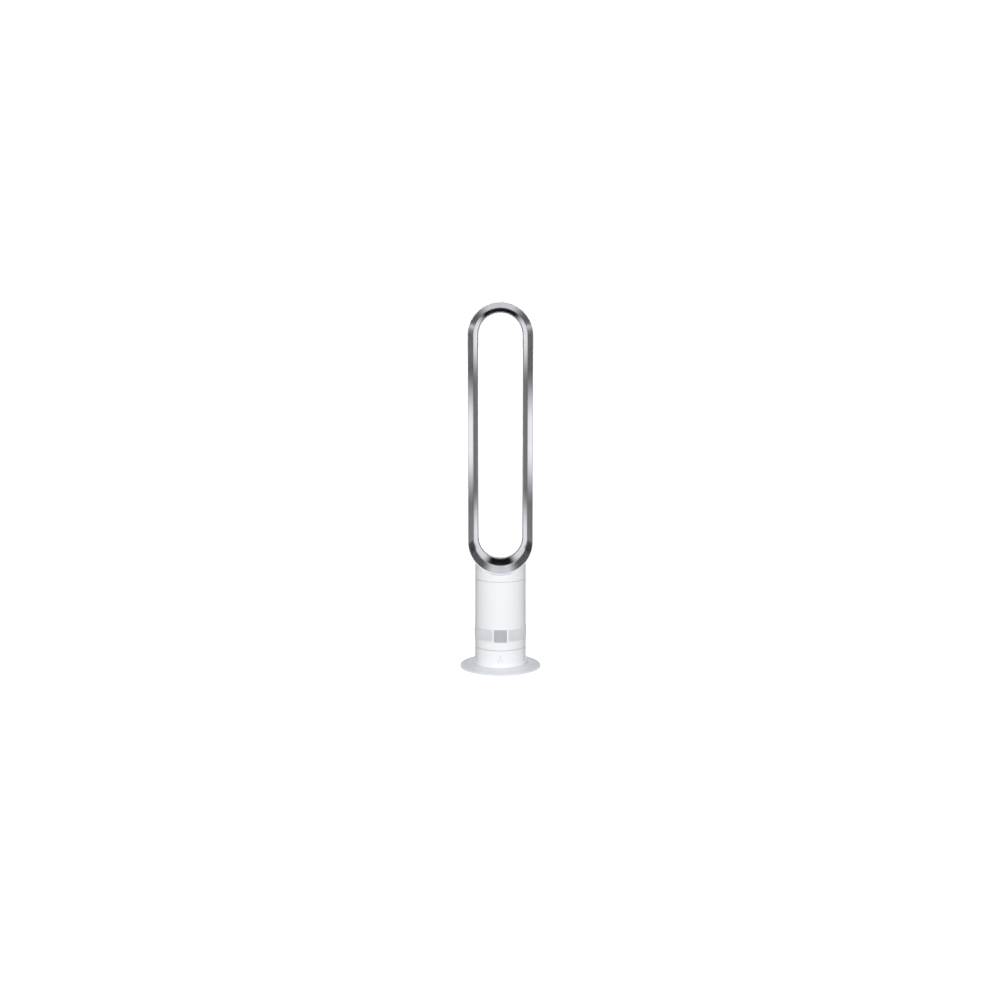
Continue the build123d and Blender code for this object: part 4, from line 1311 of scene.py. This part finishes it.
# ------------------------------------------------------------------ the studio
@dataclass
class Studio:
    """A pale floor, a large soft light behind the camera, a graded card, and a shaped room.

    Positions of the camera and the light are in metres, the floor's and the card's lengths in
    millimetres, and angles in degrees.
    """

    camera_at: Triple = (-0.0012, -3.5, 0.962)
    tilt_down: float = 8.0304
    lens: float = 46.274
    sensor: float = 36.0
    key_size: Pair = (3.5, 2.6)
    key_at: Triple = (0.0, -4.2, 1.2)
    key_watts: float = 136.0
    floor_radius: float = 40000.0
    floor_glow: float = 0.85
    card_depth: Pair = (55.0, 240.0)
    card_middle: float = 630.0
    card_half: float = 280.0
    card_split: Pair = (90.0, 95.0)    # depth at which the lit strip gives way to the flag
    flag_fade: Pair = (147.0, 275.0)   # how far up and down it starts to fade, and is gone
    strip_fade: Pair = (30.0, 200.0)
    flag_tone: float = 0.25
    strip_tone: float = 1.5
    room: float = 0.45
    overhead: float = 0.95
    backdrop: float = 1.05             # what the camera itself sees behind the fan
    axis_rise: float = 3.5
    far_tones: Pair = (1.15, 1.45)     # the white cards, below and above
    far_flag: float = 0.07
    near_tones: Pair = (0.007, 1.2)    # top and bottom, and sides
    straight_tone: float = 0.8
    straight_rise: float = -5.0
    below_edge: Pair = (0.6, 34.0)     # rise of the cone's axis, and its half angle
    above_edge: Pair = (6.5, 38.0)
    side_edge: float = 34.2
    edge_soft: float = 0.8

    def camera(self) -> None:
        """Set the camera up, tilted down by its angle below the level."""
        lens = bpy.data.cameras.new("camera")
        lens.lens, lens.sensor_width = self.lens, self.sensor
        seen = bpy.data.objects.new("camera", lens)
        seen.location, seen.rotation_euler = self.camera_at, (np.radians(90 - self.tilt_down), 0, 0)
        bpy.context.scene.collection.objects.link(seen)
        bpy.context.scene.camera = seen
        bpy.context.scene.view_settings.view_transform = "Standard"

    def key(self) -> None:
        """Hang the softbox behind the camera, facing the fan."""
        light = bpy.data.lights.new("softbox", "AREA")
        light.shape, light.energy = "RECTANGLE", self.key_watts
        light.size, light.size_y = self.key_size
        hung = bpy.data.objects.new("softbox", light)
        hung.location, hung.rotation_euler = self.key_at, (np.pi / 2, 0, 0)
        hung.visible_camera = False
        bpy.context.scene.collection.objects.link(hung)

    def floor(self) -> None:
        """Lay the floor: a wide disc of rings that grow outwards, pale, with a light of its own.

        It is kept out of reflections and bounces, where the room's lower half stands for it.
        """
        wide, under = self.floor_radius, -10.0
        rings = np.geomspace(50.0, wide, 24)
        outline = np.array([(0.0, 0.0), *((r, 0.0) for r in rings), (wide, under), (0.0, under)])
        ground = make("floor", lathe(outline, 96, False))
        material = bpy.data.materials.new("paper_sweep_white")
        tree = blank(material)
        paper = {"Base Color": linear("#f1f2f3"), "Roughness": 0.9, "Emission Color": (1, 1, 1, 1)}
        paper = add(tree, "ShaderNodeBsdfPrincipled", paper | {"Emission Strength": self.floor_glow})
        add(tree, "ShaderNodeOutputMaterial", {"Surface": paper.outputs["BSDF"]})
        ground.data.materials.append(material)
        ground.visible_glossy = ground.visible_diffuse = False

    def card(self) -> None:
        """Stand a card on edge in the fan's middle plane, level with the middle of the loop.

        Its front strip is lit and the rest is a grey flag, and both fade out up and down. Only glossy
        surfaces see it: the loop's straight bevels, which reverse their tones there. Rays from the
        round ends cross this plane near the ends' own centres, so they pass above and below it.
        """
        material = bpy.data.materials.new("card_graded_paper")
        tree = blank(material)
        place = add(tree, "ShaderNodeTexCoord").outputs["Object"]
        _, depth, level = add(tree, "ShaderNodeSeparateXYZ", {0: place}).outputs
        ends = np.array([self.card_split, self.flag_fade, self.strip_fade]) * MM
        split, flag, strip = ends.tolist()
        rows = [
            ("height", Step.SUBTRACT, "level", self.card_middle * MM),
            ("off", Step.ABSOLUTE, "height"),
            ("lit", Step.RAMP, "depth", *split, 1.0, 0.0),
            ("flag", Step.RAMP, "off", *flag, 1.0, 0.0),
            ("strip", Step.RAMP, "off", *strip, 1.0, 0.0),
            ("share", Step.MIX, "lit", "flag", "strip"),
            ("tone", Step.MIX, "lit", self.flag_tone, self.strip_tone),
        ]
        made = chain(tree, {"depth": depth, "level": level}, rows)
        clear = add(tree, "ShaderNodeBsdfTransparent").outputs[0]
        paper = add(tree, "ShaderNodeEmission", {"Strength": made["tone"]}).outputs[0]
        seen = add(tree, "ShaderNodeMixShader", {0: made["share"], 1: clear, 2: paper}).outputs[0]
        add(tree, "ShaderNodeOutputMaterial", {"Surface": seen})
        levels = (self.card_middle - self.card_half, self.card_middle + self.card_half)
        grid = np.array([[(0.0, y, z) for z in levels] for y in self.card_depth])
        card = make("card", sheet_of(grid, False, False))
        card.data.materials.append(material)
        card.visible_camera = card.visible_diffuse = card.visible_shadow = False

    def world(self) -> None:
        """Surround the fan with an even room, brighter overhead, and cards and flags behind it.

        With D the direction looked in, the cards and flags lie round an axis that rises a little
        towards the back: D's side share is |x| / sqrt(x^2 + u^2), with u its part across the axis.
        Far round, the sides are flagged dark and the top and bottom carry white cards; nearer the back
        it is the other way about, and straight back it is even. The two meet on a cone below, on a
        wider one above, and at a fixed bearing at the sides. Past all of them the room is even.
        """
        world = bpy.data.worlds.new("studio")
        bpy.context.scene.world = world
        tree = blank(world)
        way = add(tree, "ShaderNodeTexCoord").outputs["Generated"]
        across, _, level = add(tree, "ShaderNodeSeparateXYZ", {0: way}).outputs
        seen = add(tree, "ShaderNodeLightPath").outputs["Is Camera Ray"]
        (down_rise, down_edge), (up_rise, up_edge) = self.below_edge, self.above_edge
        rises = {"down": down_rise, "up": up_rise, "straight": self.straight_rise, "round": self.axis_rise}
        rows = []
        for name, rise in rises.items():
            back = (0.0, float(np.cos(np.radians(rise))), float(np.sin(np.radians(rise))))
            rows += [(f"{name}_share", Step.DOT, "way", back), (f"{name}_arc", Step.ARCCOSINE, f"{name}_share")]
            rows += [(f"{name}_turn", Step.DEGREES, f"{name}_arc")]
        tilt = np.radians(self.axis_rise)
        rows += [
            ("upward", Step.DOT, "way", (0.0, -float(np.sin(tilt)), float(np.cos(tilt)))),
            ("beside", Step.ABSOLUTE, "across"),
            ("beside_squared", Step.POWER, "beside", 2.0),
            ("above_axis", Step.ABSOLUTE, "upward"),
            ("above_squared", Step.POWER, "above_axis", 2.0),
            ("reach_squared", Step.ADD, "beside_squared", "above_squared"),
            ("reach_held", Step.MAXIMUM, "reach_squared", 1e-6),
            ("reach", Step.SQRT, "reach_held"),
            ("side", Step.DIVIDE, "beside", "reach"),
            ("white", Step.RAMP, "level", -0.3, 0.5, *self.far_tones),
            ("flagged", Step.RAMP, "side", 0.3, 0.8),
            ("far", Step.MIX, "flagged", "white", self.far_flag),
            ("near_sides", Step.RAMP, "side", 0.5, 0.9, *self.near_tones),
            ("off_straight", Step.RAMP, "straight_turn", 7.0, 13.0),
            ("near", Step.MIX, "off_straight", self.straight_tone, "near_sides"),
            ("past_below", Step.SUBTRACT, "down_turn", down_edge),
            ("past_above", Step.SUBTRACT, "up_turn", up_edge),
            ("bearing_arc", Step.ARCSINE, "beside"),
            ("bearing", Step.DEGREES, "bearing_arc"),
            ("past_side", Step.SUBTRACT, "bearing", self.side_edge),
            ("not_low", Step.RAMP, "level", -0.26, -0.17),
            ("past_lower", Step.MIX, "not_low", "past_below", "past_side"),
            ("high", Step.RAMP, "level", 0.0, 0.12),
            ("past", Step.MIX, "high", "past_lower", "past_above"),
            ("is_far", Step.RAMP, "past", -self.edge_soft, self.edge_soft),
            ("behind", Step.MIX, "is_far", "near", "far"),
            ("room", Step.RAMP, "level", 0.35, 0.95, self.room, self.overhead),
            ("is_room", Step.RAMP, "round_turn", 52.0, 66.0),
            ("light", Step.MIX, "is_room", "behind", "room"),
            ("strength", Step.MIX, "seen", "light", self.backdrop),
        ]
        made = chain(tree, {"way": way, "across": across, "level": level, "seen": seen}, rows)
        sky = add(tree, "ShaderNodeBackground", {"Color": (1, 1, 1, 1), "Strength": made["strength"]})
        add(tree, "ShaderNodeOutputWorld", {"Surface": sky.outputs[0]})

    def build(self) -> None:
        """Set up the camera, the light, the floor, the card and the room."""
        self.camera()
        self.key()
        self.floor()
        self.card()
        self.world()


def main() -> None:
    """Build the studio and each sub-assembly in order."""
    logging.basicConfig(level=logging.INFO, format="%(name)s: %(message)s")
    Studio().build()
    for assembly in (Foot(), Base(), Air(), Tower(), Loop()):
        assembly.build()
        assembly.dress()


if __name__ == "__main__":
    main()
